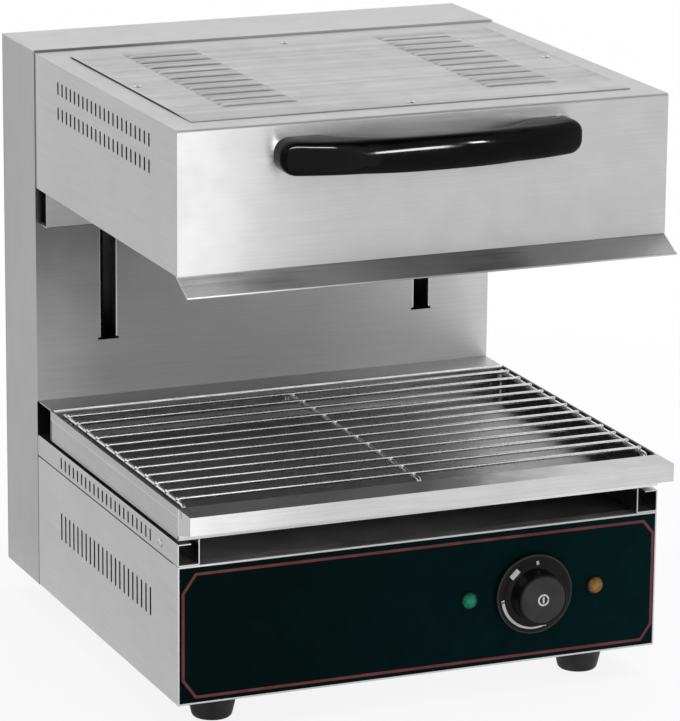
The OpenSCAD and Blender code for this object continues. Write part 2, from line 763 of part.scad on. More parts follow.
module rope_anchors() color(brass) from_front() both_sides()
    translate([pulley_x - 7, carriage_y + plate_t, z_anchor - anchor_h])
        cube([14, 2 * (front_rope_y - carriage_y - plate_t), anchor_h]);

module hood_ropes() color(bright) from_front() both_sides()
    translate([pulley_x, front_rope_y, z_anchor]) cylinder(d = rope_d, h = z_pulley - z_anchor);

// Where the heater legs run: x of each leg
function leg_x(k, s) = (k - (element_count - 1) / 2) * element_pitch + s * element_half;

module reflector() color(bright) from_front() difference() {
    top_w = half_w - 4 - reflector_in;
    union() {
        along_y(5, shield_y - 2) polygon(folded([[-half_w + 4, z_hood + sheet + seat],
            [-top_w, reflector_top], [top_w, reflector_top],
            [half_w - 4, z_hood + sheet + seat]], sheet));
        for (y = [5, shield_y - 2 - sheet]) along_y(y, y + sheet) polygon([
            [-half_w + 4, z_hood + sheet + seat], [-top_w, reflector_top],
            [top_w, reflector_top], [half_w - 4, z_hood + sheet + seat]]);
    }
    for (k = [0:element_count - 1], s = [-1, 1])
        translate([leg_x(k, s), element_back + bend_r, reflector_top - 3])
            cylinder(r = element_r + 0.6, h = 6);
}

module insulation_pad() color(wool) from_front() difference() {
    translate([-half_w + pad_side, pad_front, reflector_top + sheet + seat])
        cube([body_w - 2 * pad_side, shield_y - pad_front - pad_back, pad_h]);
    for (k = [0:element_count - 1], s = [-1, 1])
        translate([leg_x(k, s), element_back + bend_r, reflector_top])
            cylinder(r = element_r + 1.5, h = pad_h + terminal_h);
}

// Hairpin heater: two legs front to back, a half-round turn, and ends bent upwards
module hairpin() {
    rotate([0, 0, 180]) rotate_extrude(angle = 180)
        translate([element_half, 0]) circle(r = element_r);
    for (s = [-1, 1]) translate([s * element_half, 0, 0]) {
        rotate([-90, 0, 0]) cylinder(r = element_r, h = element_back - element_front);
        translate([0, element_back - element_front, bend_r]) rotate([90, 0, 90])
            rotate([0, 0, -90]) rotate_extrude(angle = 90)
                translate([bend_r, 0]) circle(r = element_r);
        translate([0, element_back - element_front + bend_r, bend_r])
            cylinder(r = element_r, h = reflector_top + pad_h + terminal_h - element_z - bend_r);
    }
}

module heating_elements() color(iron) from_front() for (k = [0:element_count - 1])
    translate([leg_x(k, 0), element_front, element_z]) hairpin();

module element_brackets() color(bright) from_front()
    for (y = [element_front + strip_in, element_back - strip_in]) along_y(y, y + strip_t)
    difference() {
        end = leg_x(element_count - 1, 1) + strip_margin;
        below = element_r + 2.5;
        translate([-end, element_z - below])
            square([2 * end, reflector_top - seat - element_z + below]);
        for (k = [0:element_count - 1], s = [-1, 1]) translate([leg_x(k, s), element_z])
            circle(r = element_r + hole_fit);
    }

// ---------- handle ----------

z_handle = z_hood + 96;
handle_screw_x = handle_len / 2 - 20;
foot_len = 50;

// Plan outline of the bow: outer curve forward, inner curve round the finger gap
function bow(half, depth, flat, n) = [for (i = [-n:n]) let (u = i / n)
    [u * half, -depth + (depth - flat) * pow(abs(u), 2.6)]];

module handle_plan() {
    outer = bow(handle_len / 2, handle_out, 18, 24);
    inner = bow(handle_len / 2 - foot_len, handle_out - grip_t, 0, 20);
    difference() {
        polygon(concat(outer, [[handle_len / 2, 0], [-handle_len / 2, 0]]));
        polygon(concat(inner, [[handle_len / 2 - foot_len, 1], [-handle_len / 2 + foot_len, 1]]));
    }
}

module handle() color(black) from_front() difference() {
    intersection() {
        translate([0, 0, z_handle - handle_h / 2]) linear_extrude(handle_h) handle_plan();
        along_y(-handle_out - 1, 1) translate([0, z_handle]) {
            square([handle_len - handle_h, handle_h], center = true);
            for (s = [-1, 1]) translate([s * (handle_len - handle_h) / 2, 0])
                circle(d = handle_h, $fn = 48);
        }
    }
    for (x = [-handle_screw_x, handle_screw_x]) translate([x, eps, z_handle])
        rotate([90, 0, 0]) cylinder(r = m5_r + hole_fit, h = 11);
}

module handle_screws() color(bright) from_front() for (x = [-handle_screw_x, handle_screw_x])
    translate([x, sheet, z_handle]) rotate([-90, 0, 0]) pan_screw(m5_r, m5_head_r, 3, sheet + 9);

// ---------- counterweight and pulleys ----------

module counterweight() color(iron) from_front()
    translate([-weight_w / 2, rear_rope_y - weight_t / 2, z_weight]) difference() {
        cube([weight_w, weight_t, weight_h]);
        for (x = [weight_w / 2 - pulley_x, weight_w / 2 + pulley_x])
            translate([x, weight_t / 2, weight_h - anchor_bolt_len - 2])
                cylinder(r = anchor_bolt_r + hole_fit, h = anchor_bolt_len + 3);
    }

module weight_anchors() color(brass) from_front() both_sides()
    translate([pulley_x, rear_rope_y, z_weight + weight_h]) {
        translate([0, 0, -anchor_bolt_len]) cylinder(r = anchor_bolt_r, h = anchor_bolt_len + eps);
        cylinder(r = 7, h = 6, $fn = 6);
        translate([0, 0, 6 - eps]) cylinder(r = 4.5, h = weight_anchor_h - 6 + eps);
    }

module weight_ropes() color(bright) from_front() both_sides() {
    foot = z_weight + weight_h + weight_anchor_h;
    translate([pulley_x, rear_rope_y, foot]) cylinder(d = rope_d, h = z_pulley - foot);
}

module pulley() from_front() translate([pulley_x, pulley_y, z_pulley]) rotate([0, 90, 0])
    difference() {
        groove = pitch_r - rope_d / 2 - rope_gap;
        cylinder(r = pulley_r, h = pulley_w, center = true, $fn = 64);
        rotate_extrude($fn = 64) polygon([[pulley_r + 1, -4], [groove + 1.2, -rope_d / 2 - 0.5],
            [groove, -0.9], [groove, 0.9], [groove + 1.2, rope_d / 2 + 0.5], [pulley_r + 1, 4]]);
        cylinder(r = axle_d / 2 + run_fit, h = pulley_w + 2, center = true);
        for (a = [0:72:359]) rotate([0, 0, a]) translate([(axle_d / 2 + groove) / 2, 0, 0])
            cylinder(r = 3, h = pulley_w + 2, center = true);
    }
module pulley_left() color(plastic) mirror([1, 0, 0]) pulley();
module pulley_right() color(plastic) pulley();

// ---------- tray and grid ----------

module drip_tray() color(steel) from_front() {
    // Front grip over the whole width; pan floor and rear rim between the side walls
    along_x(body_w) polygon(folded([[grip_lip - tray_grip, z_rim - grip_drop],
        [-tray_grip, z_rim - grip_drop], [-tray_grip, z_rim], [sheet, z_rim]], -sheet));
    along_x(body_w - 2 * sheet) polygon(folded([[0, z_rim], [sheet, z_rim],
        [sheet, z_tray + sheet], [tray_back - sheet, z_tray + sheet],
        [tray_back - sheet, z_rim - sheet], [tray_back - 7, z_rim - sheet]], -sheet));
    both_sides() {
        translate([half_w - 2 * sheet, 0, z_tray]) cube([sheet, tray_back, tray_h]);
        translate([half_w - sheet, -eps, z_rim - side_hem]) cube([sheet, tray_back, side_hem]);
        translate([half_w - sheet / 2, 0, 0]) along_x(sheet) polygon([[-tray_grip, z_rim],
            [-tray_grip, z_rim - grip_drop], [0, z_rim - grip_end], [sheet, z_tray],
            [sheet, z_rim]]);
    }
}

// Round-cornered wire frame, its corners cut from rings
module frame_corner() rotate_extrude(angle = 90) translate([corner_r, 0])
    circle(d = frame_wire_d);

module wire_grid() color(bright) from_front() {
    x = half_w - grid_side;
    front = grid_front;
    back = grid_back;
    r = frame_wire_d / 2;
    z = z_grid - wire_d / 2 - r + weld;
    foot = z_tray + sheet + seat;
    both_sides() {
        translate([x, front + corner_r, z]) rotate([-90, 0, 0])
            cylinder(r = r, h = back - front - 2 * corner_r);
        translate([x - corner_r, back - corner_r, z]) frame_corner();
        translate([x - corner_r, front + corner_r, z]) rotate([0, 0, -90]) frame_corner();
        for (y = [front + 2 * corner_r, back - 2 * corner_r])
            translate([x, y, foot]) cylinder(r = r - 0.2, h = z - foot);
    }
    for (y = [front, back]) translate([0, y, z]) rotate([0, 90, 0])
        cylinder(r = r, h = 2 * (x - corner_r), center = true);
    translate([0, front, z]) rotate([-90, 0, 0]) cylinder(r = r - 0.2, h = back - front);
    for (k = [0:wire_count - 1])
        translate([0, wire_first + k * (wire_last - wire_first) / (wire_count - 1), z_grid])
            rotate([0, 90, 0]) cylinder(d = wire_d, h = 2 * x, center = true);
}

floor_plate();
base_side_left();
base_side_right();
base_deck();
front_panel();
control_fascia();
side_rail_left();
side_rail_right();
rear_ledge();
rubber_feet();
foot_screws();
case_screws();
energy_regulator();
lamp_green();
lamp_amber();
lamp_holders();
terminal_block();
cable_gland();
bonding_stud();
column_shell();
column_front();
rear_cover();
rear_screws();
guide_rods();
head_beam();
lower_beam();
rod_screws();
rod_bumpers();
pulley_brackets();
pulley_axles();
rope_wraps();
weight_guides();
hood_shell();
hood_top_plate();
top_screws();
drip_lip();
hood_rear_shield();
cross_member();
lift_arm_left();
lift_arm_right();
carriage_plate();
bushings();
carriage_bolts();
rope_anchors();
reflector();
insulation_pad();
heating_elements();
element_brackets();
handle();
handle_screws();
hood_ropes();
counterweight();
weight_anchors();
weight_ropes();
pulley_left();
pulley_right();
knob();
regulator_shaft();
drip_tray();
wire_grid();
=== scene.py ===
"""Cheese melter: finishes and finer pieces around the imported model.

Pieces are modelled in millimetres from the front face (y = 0) and the floor (z = 0), as the
part's source does; put() carries them into the shared frame.
"""
import json
from math import cos, pi, radians, sin

import bmesh
import bpy
import numpy as np
from mathutils import Matrix, Vector


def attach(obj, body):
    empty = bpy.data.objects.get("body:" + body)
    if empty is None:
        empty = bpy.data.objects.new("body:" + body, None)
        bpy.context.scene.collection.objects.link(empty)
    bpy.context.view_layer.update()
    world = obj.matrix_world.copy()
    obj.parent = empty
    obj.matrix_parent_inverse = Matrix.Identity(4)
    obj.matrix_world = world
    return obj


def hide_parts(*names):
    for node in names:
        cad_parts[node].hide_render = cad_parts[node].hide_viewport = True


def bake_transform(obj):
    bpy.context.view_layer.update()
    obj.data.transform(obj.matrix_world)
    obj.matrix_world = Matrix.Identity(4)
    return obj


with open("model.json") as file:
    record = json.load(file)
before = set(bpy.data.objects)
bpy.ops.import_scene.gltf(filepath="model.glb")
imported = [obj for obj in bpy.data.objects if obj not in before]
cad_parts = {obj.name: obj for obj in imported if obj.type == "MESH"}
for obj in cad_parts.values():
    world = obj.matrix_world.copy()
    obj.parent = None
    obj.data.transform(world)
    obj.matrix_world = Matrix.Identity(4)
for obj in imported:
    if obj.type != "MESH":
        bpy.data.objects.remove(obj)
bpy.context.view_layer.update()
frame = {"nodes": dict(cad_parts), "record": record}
NODES = frame["nodes"]

# ---------- sizes, in millimetres ----------

FRONT_Y = -205.9          # the front face in the shared frame
HALF_W = 225              # half the casing's width
COLUMN_Y, BACK_Y = 362, 452     # front and back of the column
Z_CASE = 30               # underside of the casing, on top of the feet
Z_HOOD, Z_PLATE = 405, 529      # the hood's lower edge and the plate on its top
Z_RIM = 205.5             # the tray's rim
KNOB_X, CONTROL_Z = 105, 93     # middle of the knob; the lamps stand at the same height
LAMP_DX = 60.5            # from the knob's middle to each lamp's
FASCIA_Y = -0.4           # face of the printed film
SLOT_X = 156              # middle of each slot in the column's front

MERGE = 2e-6              # metres; points nearer than this are one
SMOOTH_BELOW = 38         # degrees; a sharper edge stays sharp


# ---------- shape tools ----------

def put(points):
    """Millimetres from the front face into metres in the shared frame"""
    return (np.asarray(points, float).reshape(-1, 3) + (0, FRONT_Y, 0)) * 0.001


def grid_faces(rows, cols, wrap_rows=False, wrap_cols=False):
    """Quads between neighbouring points of a rows by cols grid; a wrapped side closes on itself"""
    i = np.arange(rows if wrap_rows else rows - 1)[:, None]
    j = np.arange(cols if wrap_cols else cols - 1)[None, :]
    below, right = (i + 1) % rows, (j + 1) % cols
    quads = np.stack([i * cols + j, below * cols + j, below * cols + right, i * cols + right], -1)
    return quads.reshape(-1, 4).tolist()


def swept(rings, closed=False):
    """Skin through rings of points (rows by cols by 3), its two ends capped unless it closes"""
    rows, cols = rings.shape[:2]
    faces = grid_faces(rows, cols, closed, True)
    if not closed:
        faces += [list(range(cols)), list(range((rows - 1) * cols, rows * cols))]
    return rings.reshape(-1, 3), faces


def tube(path, radius, sides=12, closed=False, up=(0, 0, 1)):
    """Round wire: at each point of the path a circle of that radius, square to the path"""
    path = np.asarray(path, float)
    ahead = np.roll(path, -1, 0) - np.roll(path, 1, 0) if closed else np.gradient(path, axis=0)
    ahead /= np.linalg.norm(ahead, axis=1, keepdims=True)
    side = np.cross(ahead, up)
    side /= np.linalg.norm(side, axis=1, keepdims=True)
    top = np.cross(side, ahead)
    a = np.linspace(0, 2 * pi, sides, endpoint=False)[None, :, None]
    ring = np.cos(a) * side[:, None] + np.sin(a) * top[:, None]
    return swept(path[:, None] + np.broadcast_to(radius, len(path))[:, None, None] * ring, closed)


def square_to(axis, side=None):
    """Rows of a turned frame: a direction square to the axis, one square to both, the axis"""
    axis = Vector(axis).normalized()
    side = Vector(side) if side else axis.orthogonal().normalized()
    return np.array([side, axis.cross(side), axis])


def turned(profile, centre, axis, sides=48, twist=0.0):
    """Lathe work: each (radius, height) of the profile is carried round the axis at centre,
    from a first point that twist turns, in radians"""
    basis = square_to(axis, (1, 0, 0) if abs(axis[1]) > 0.9 else None)
    a = np.linspace(0, 2 * pi, sides, endpoint=False) + twist
    r, h = np.asarray(profile, float).T
    ring = np.stack([r[:, None] * np.cos(a), r[:, None] * np.sin(a),
                     np.broadcast_to(h[:, None], (len(r), sides))], -1)
    return swept(ring @ basis + np.asarray(centre, float))


def rounded(corners, radius, steps=5):
    """Closed outline whose corners become arcs: quadratic curves between points radius away"""
    corners = np.asarray(corners, float)
    before = np.roll(corners, 1, 0) - corners
    after = np.roll(corners, -1, 0) - corners
    before *= radius / np.linalg.norm(before, axis=1, keepdims=True)
    after *= radius / np.linalg.norm(after, axis=1, keepdims=True)
    t = np.linspace(0, 1, steps)[None, :, None]
    arcs = corners[:, None] + (1 - t) ** 2 * before[:, None] + t ** 2 * after[:, None]
    return arcs.reshape(-1, corners.shape[1])


def finish_mesh(mesh, material, angle=SMOOTH_BELOW):
    """Faces outwards, doubles merged, shaded smooth up to that angle"""
    work = bmesh.new()
    work.from_mesh(mesh)
    bmesh.ops.remove_doubles(work, verts=work.verts, dist=MERGE)
    bmesh.ops.recalc_face_normals(work, faces=work.faces)
    work.to_mesh(mesh)
    work.free()
    mesh.shade_smooth()
    mesh.set_sharp_from_angle(angle=radians(angle))
    mesh.materials.clear()
    mesh.materials.append(material)


def build(name, parts, finish, body, replaces=(), angle=SMOOTH_BELOW):
    """One piece from parts, each (points in millimetres, faces), which rides on the body given, if
    there is one."""
    points, faces, count = [], [], 0
    for part_points, part_faces in parts:
        points.append(np.asarray(part_points, float).reshape(-1, 3))
        faces += [[k + count for k in face] for face in part_faces]
        count += len(points[-1])
    mesh = bpy.data.meshes.new(name)
    mesh.from_pydata(put(np.concatenate(points)), [], faces)
    finish_mesh(mesh, finish.material, angle)
    piece = bpy.data.objects.new(name, mesh)
    bpy.context.scene.collection.objects.link(piece)
    if body:
        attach(piece, body)
    if replaces:
        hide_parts(*replaces)
    return piece


def width_at(face, edge):
    """How wide the face is at the middle of one of its edges, measured square to that edge"""
    a, b = edge.verts[0].co, edge.verts[1].co
    middle, along = (a + b) / 2, (b - a).normalized()
    loop = next(l for l in face.loops if l.edge == edge)
    inward = face.normal.cross((loop.link_loop_next.vert.co - loop.vert.co).normalized())
    nearest = 1.0
    for other in face.edges:
        if other == edge:
            continue
        p, q = other.verts[0].co - middle, other.verts[1].co - middle
        p_along, q_along = p.dot(along), q.dot(along)
        if (p_along > 0) == (q_along > 0) or abs(p_along - q_along) < 1e-9:
            continue      # this edge doesn't cross the line from the middle
        depth = (p + (q - p) * (p_along / (p_along - q_along))).dot(inward)
        if 1e-6 < depth < nearest:
            nearest = depth
    return nearest


def soften(name, finish, body):
    """Copy of a folded sheet node with its outer folds rounded. A fold is an outward edge of
    about 90 degrees between two faces that are both wider than the sheet is thick."""
    radius, shortest, thicker_than_sheet = 0.001, 0.006, 0.0025
    work = bmesh.new()
    work.from_mesh(NODES[name].data)
    bmesh.ops.remove_doubles(work, verts=work.verts, dist=MERGE)
    bmesh.ops.dissolve_limit(work, angle_limit=radians(1), verts=work.verts, edges=work.edges)
    folds = [e for e in work.edges
             if len(e.link_faces) == 2 and e.is_convex and e.calc_length() > shortest
             and abs(e.calc_face_angle(0) - pi / 2) < 0.3
             and min(width_at(f, e) for f in e.link_faces) > thicker_than_sheet]
    bmesh.ops.bevel(work, geom=folds, offset=radius, segments=3, profile=0.5,
                    affect="EDGES", clamp_overlap=True)
    mesh = bpy.data.meshes.new(name + "_sheet")
    work.to_mesh(mesh)
    work.free()
    mesh.shade_smooth()
    mesh.set_sharp_from_angle(angle=radians(SMOOTH_BELOW))
    mesh.materials.append(finish.material)
    piece = bpy.data.objects.new(mesh.name, mesh)
    bpy.context.scene.collection.objects.link(piece)
    even = piece.modifiers.new("even_shading", "WEIGHTED_NORMAL")
    even.keep_sharp = True
    even.weight = 100         # large faces win, so they stay flat up to their rounded folds
    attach(piece, body)
    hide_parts(name)


# ---------- finishes ----------

class Nodes:
    """Puts nodes into a tree and joins them"""

    def __init__(self, tree):
        self.nodes, self.links = tree.nodes, tree.links

    def add(self, kind, inputs=(), **settings):
        """A node with its settings and inputs, each a value or another node's output"""
        node = self.nodes.new("ShaderNode" + kind)
        for key, value in settings.items():
            setattr(node, key, value)
        for key, value in dict(inputs).items():
            self.feed(node.inputs[key], value)
        return node

    def feed(self, socket, value):
        """Another node's output, a number or a colour put into a socket"""
        if isinstance(value, bpy.types.NodeSocket):
            self.links.new(value, socket)
        elif socket.type == "RGBA" and not hasattr(value, "__len__"):
            socket.default_value = (value, value, value, 1)
        elif socket.type == "RGBA":
            socket.default_value = (*value[:3], 1)
        else:
            socket.default_value = value

    def maths(self, how, a, b=0.0):
        """Two numbers joined by one of the Math node's operations"""
        return self.add("Math", {0: a, 1: b}, operation=how).outputs[0]

    def vector(self, how, a, b=(0, 0, 0)):
        """Two vectors joined by one of the Vector Math node's operations"""
        return self.add("VectorMath", {0: a, 1: b}, operation=how).outputs[0]

    def length(self, vector):
        """How long a vector is"""
        return self.add("VectorMath", {0: vector}, operation="LENGTH").outputs["Value"]

    def axes(self, vector):
        """The outputs X, Y and Z of a vector"""
        return self.add("SeparateXYZ", {0: vector}).outputs

    def spread(self, value, low, high, start=0.35, stop=0.65):
        """A pattern's middle range stretched to low..high"""
        return self.add("MapRange", {"Value": value, "From Min": start, "From Max": stop,
                                     "To Min": low, "To Max": high}).outputs["Result"]


class Finish(Nodes):
    """A finish made of nodes round one shader. Patterns are laid out in metres on the piece."""

    def __init__(self, name, **surface):
        self.material = bpy.data.materials.new(name)
        self.material.use_nodes = True
        super().__init__(self.material.node_tree)
        self.shader = self.nodes["Principled BSDF"]
        self.where = self.add("TexCoord").outputs["Object"]
        for key, value in surface.items():
            self.feed(self.shader.inputs[key.replace("_", " ")], value)

    def noise(self, scale, detail=2.0, where=None, rough=0.5):
        """Cloudy pattern from 0 to 1; scale is in patches per metre"""
        return self.add("TexNoise", {"Vector": where or self.where, "Scale": scale,
                                     "Detail": detail, "Roughness": rough}).outputs["Fac"]

    def blend(self, factor, a, b, how="MIX"):
        """Colour a where the factor is 0 and b where it is 1"""
        node = self.add("Mix", data_type="RGBA", blend_type=how)
        for socket, value in zip((0, 6, 7), (factor, a, b)):
            self.feed(node.inputs[socket], value)
        return node.outputs[2]

    def colour(self, value):
        self.feed(self.shader.inputs["Base Color"], value)

    def roughness(self, value):
        self.feed(self.shader.inputs["Roughness"], value)

    def within(self, low, high):
        """1 in a box whose corners are given in millimetres as put() takes them, 0 outside it"""
        low, high = put([low, high])
        middle, half = (low + high) / 2, (high - low) / 2
        away = self.vector("ABSOLUTE", self.vector("SUBTRACT", self.where, tuple(middle)))
        near = [self.maths("LESS_THAN", axis, float(h)) for axis, h in zip(self.axes(away), half)]
        return self.maths("MULTIPLY", near[0], self.maths("MULTIPLY", near[1], near[2]))

    def relief(self, height, depth, strength):
        """Bumps as deep as depth, in metres"""
        bump = self.add("Bump", {"Height": height, "Distance": depth, "Strength": strength})
        self.links.new(bump.outputs["Normal"], self.shader.inputs["Normal"])


def brushed(name, tone, rough, upright=False, wear=1.0, light_and_shade_boxes=(), draw=0.9, fades=(),
            bands=0.0):
    """Brushed sheet. Grain lines run level, or upright, on walls and along X on level faces; the
    highlight is drawn out square to them. Streaks and faint cloudy patches vary the tone, and each box
    of painted light and shade, (low, high, share), keeps only that share of it: a share below 1 paints
    shade and one above 1 paints a highlight. A fade of painted light and shade, (share, (axis, start,
    stop), ...), brings the tone to that share where every axis is past its stop. Bands are wide soft
    stripes along the grain, as deep as the value given."""
    f = Finish(name, Metallic=1.0, Anisotropic=draw)
    normal = f.add("NewGeometry").outputs["Normal"]
    level = f.maths("GREATER_THAN", f.maths("ABSOLUTE", f.axes(normal)["Z"]), 0.7)
    long, fine = 60, 2400      # lines per metre along the grain and across it
    if upright:
        across = f.vector("CROSS_PRODUCT", normal, (0, 0, 1))
        wall = (fine, fine, long)
    else:
        across = (0, 0, 1)
        wall = (long, long, fine)
    turn = f.add("Mix", data_type="VECTOR")
    for socket, value in zip((0, 4, 5), (level, across, (0, 1, 0))):
        f.feed(turn.inputs[socket], value)
    f.links.new(turn.outputs[1], f.shader.inputs["Tangent"])
    grain = f.vector("MULTIPLY", f.where, f.blend(level, wall, (long, fine, long)))
    # hairlines are the finest; streaks, and bands, are the same grain drawn wider
    hair = f.noise(1.0, 2.0, grain)
    streak = f.noise(1.0, 3.0, f.vector("MULTIPLY", grain, (0.22, 0.22, 0.22)), 0.6)
    cloud = f.noise(9.0, 3.0, rough=0.55)
    smear = f.noise(38.0, 2.0)
    varied = 0.045 * wear
    lines = f.blend(f.spread(streak, 0, 1), tone * (1 - varied), tone * (1 + varied))
    patches = f.blend(f.spread(cloud, 0, 1), 1 - 0.05 * wear, 1.0)
    tint = f.blend(1.0, lines, patches, "MULTIPLY")
    if bands:
        wide = f.noise(1.0, 2.0, f.vector("MULTIPLY", grain, (0.03, 0.03, 0.03)))
        stripe = f.blend(f.spread(wide, 0, 1, 0.4, 0.6), 1 - bands, 1 + bands / 2)
        tint = f.blend(1.0, tint, stripe, "MULTIPLY")
    # painted shade and painted highlights, one box at a time
    for box_low, box_high, share in light_and_shade_boxes:
        tint = f.blend(f.within(box_low, box_high), tint, share, "MULTIPLY")
    # painted light and shade that fade in along the axes
    for share, *ramps in fades:
        reach = 1.0
        for axis, start, stop in ramps:
            ramp = f.spread(f.axes(f.where)[axis], 0, 1, start, stop)
            reach = f.maths("MULTIPLY", reach, ramp)
        tint = f.blend(reach, tint, share, "MULTIPLY")
    f.colour(tint)
    drawn = f.spread(streak, rough - 0.035, rough + 0.035)
    f.roughness(f.maths("ADD", drawn, f.spread(smear, -0.02 * wear, 0.03 * wear)))
    f.relief(hair, 0.00002, 0.35)
    return f


def plated(name, tone, rough, depth=0.00003):
    """Bright plated or drawn metal with fine haze and a few dull spots"""
    f = Finish(name, Metallic=1.0)
    haze = f.noise(120.0, 3.0)
    tone = np.broadcast_to(tone, 3)
    f.colour(f.blend(f.spread(haze, 0, 1), tone * 0.86, tone))
    f.roughness(f.spread(f.noise(420.0, 2.0), rough * 0.7, rough * 1.5))
    f.relief(f.noise(900.0, 2.0), depth, 0.4)
    return f


def moulded(name, tone, rough, grain=1400.0, depth=0.00004, **more):
    """Moulded plastic or rubber: fine grain, slight tone changes and rubbed patches"""
    f = Finish(name, **more)
    tone = np.broadcast_to(tone, 3)
    f.colour(f.blend(f.spread(f.noise(60.0, 3.0), 0, 1), tone * 0.85, tone * 1.15))
    f.roughness(f.spread(f.noise(90.0, 3.0), rough * 0.85, rough * 1.2))
    f.relief(f.noise(grain, 3.0, rough=0.6), depth, 0.5)
    return f


def printed_film(name):
    """Nearly black green print with a painted reflection that lightens it a little to the right, and
    faint cloudy patches
    """
    f = Finish(name, Specular_IOR_Level=0.02)
    # painted reflection: the print lightens towards the right
    print_and_reflection_tone = f.blend(f.spread(f.axes(f.where)["X"], 0, 1, -0.15, 0.2),
                         (0.0004, 0.0062, 0.0058), (0.0006, 0.0125, 0.0130))
    cloud = f.blend(f.spread(f.noise(60.0, 3.0), 0, 1), 0.9, 1.1)
    f.colour(f.blend(1.0, print_and_reflection_tone, cloud, "MULTIPLY"))
    f.roughness(f.spread(f.noise(90.0, 3.0), 0.36, 0.5))
    f.relief(f.noise(2400.0, 3.0, rough=0.6), 0.00001, 0.5)
    return f


# A box of painted light and shade is (low corner, high corner, share of the tone), its corners in
# millimetres: a share below 1 paints shade and one above 1 paints a highlight. One that reaches OUT
# past the casing takes in its outer faces, and one that ends IN leaves them out.
OUT, IN = HALF_W + 1, HALF_W - 1.2

# painted shade inside the hood
HOOD_INSIDE_SHADE = ((-IN, 1.2, Z_HOOD - 1), (IN, COLUMN_Y - 1.2, 526.8), 0.35)
# painted shade in the seam gaps at the hood's rear edges
HOOD_REAR_SEAM_SHADE = [((x - 1, 357.6, Z_HOOD - 1), (x + 1, 361.5, 527.5), 0.3)
                   for x in (-HALF_W, HALF_W)]
# painted shade inside the column
COLUMN_INSIDE_SHADE = ((-IN, COLUMN_Y + 0.2, Z_CASE + 1), (IN, BACK_Y - 1.2, 528.8), 0.15)
# painted shade on the column's front below the tray, behind it
BEHIND_TRAY_SHADE = ((-OUT, COLUMN_Y - 1, Z_CASE), (OUT, COLUMN_Y + 2, 205), 0.05)
# painted shade on the back of the column's face, seen through its slots
FACE_BACK_SHADE = ((1 - HALF_W, 363.1, Z_CASE + 1), (HALF_W - 1, 376, 529), 0.12)
# painted highlights along both edges of each slot
SLOT_EDGE_HIGHLIGHTS = [((x - 0.6, COLUMN_Y - 1, 257.5), (x + 0.6, COLUMN_Y + 2, Z_HOOD), 1.6)
              for rod in (-SLOT_X, SLOT_X) for x in (rod - 7.9, rod + 7.9)]
# painted shade inside the rails
RAILS_INSIDE_SHADE = ((-224.4, 1, 154.6), (224.4, 361, 172.8), 0.5)
# painted shade in and on the tray, and painted highlights on its grip and left side
TRAY_LIGHT_AND_SHADE = [
    ((-223.7, 1.2, 176), (223.7, 324, 204.8), 0.5),          # painted shade in the pan's inside
    ((222.5, 3, 178.3), (223.5, 324.6, 204.6), 0.25),        # painted shade on the inner face of its right wall
    ((222, 6, 204.7), (224.6, 323, 206), 0.15),              # painted shade on top of the right hem
    ((-224.6, 6, 204.7), (-222, 323, 206), 0.6),             # painted shade on top of the left hem
    ((-OUT, -0.5, 176), (-223.9, 327, 206), 0.88),           # painted shade on the outer face of the left side
    ((-OUT, -31, 176), (OUT, -29.4, 206), 1.08),             # painted highlight on the front of the grip
    ((-OUT, 0, 196.7), (-224.6, 326, 198.3), 1.25),          # painted highlight along the left hem's lower edge
    ((-OUT, -31, 176), (-224.6, -3.5, 206), 1.1),            # painted highlight on the grip's left end plate
    ((-OUT, -3.5, 176), (-224.6, -0.5, 206), 1.35),          # painted highlight on the fold behind it
    ((-OUT, -9, 199), (-224.6, -7, 206), 0.3)]               # painted shadow in the slit in its top

STAINLESS = brushed("stainless_sheet", 0.58, 0.34)
HOOD = brushed("stainless_hood", 0.58, 0.34, light_and_shade_boxes=[HOOD_INSIDE_SHADE, *HOOD_REAR_SEAM_SHADE])
PLATE = brushed("stainless_top_plate", 0.56, 0.34, wear=1.5, bands=0.1)
# painted reflection: brightest at its left end, darkest in the middle
LIP = brushed("stainless_lip", 0.8, 0.34, fades=[(0.4, ("X", -0.2, -0.02)),
                                                  (1.7, ("X", 0.03, 0.2))])
COLUMN = brushed("stainless_upright_grain", 0.58, 0.36, upright=True, draw=0.8,
                 light_and_shade_boxes=[COLUMN_INSIDE_SHADE])
# painted shade at the upper left, and painted light low down beside the left edge and over the right
# half
COLUMN_FACE = brushed("stainless_behind_the_grid", 0.52, 0.45, draw=0.6, wear=1.1,
                      light_and_shade_boxes=[BEHIND_TRAY_SHADE, FACE_BACK_SHADE, *SLOT_EDGE_HIGHLIGHTS],
                      fades=[(0.45, ("Z", 0.25, 0.36), ("X", -0.02, -0.17)),
                             (1.25, ("Z", 0.34, 0.22), ("X", -0.16, -0.2)),
                             (1.15, ("X", 0.05, 0.16))])
# painted shade on the left of the pan's floor, below z = 0.179, and painted light on its right
TRAY = brushed("stainless_tray", 0.58, 0.31, wear=1.4, light_and_shade_boxes=TRAY_LIGHT_AND_SHADE,
               fades=[(0.8, ("X", -0.05, -0.2), ("Z", 0.181, 0.179)),
                      (1.35, ("X", 0.02, 0.1), ("Z", 0.181, 0.179))])
RAIL = brushed("stainless_rail", 0.56, 0.34, light_and_shade_boxes=[RAILS_INSIDE_SHADE])
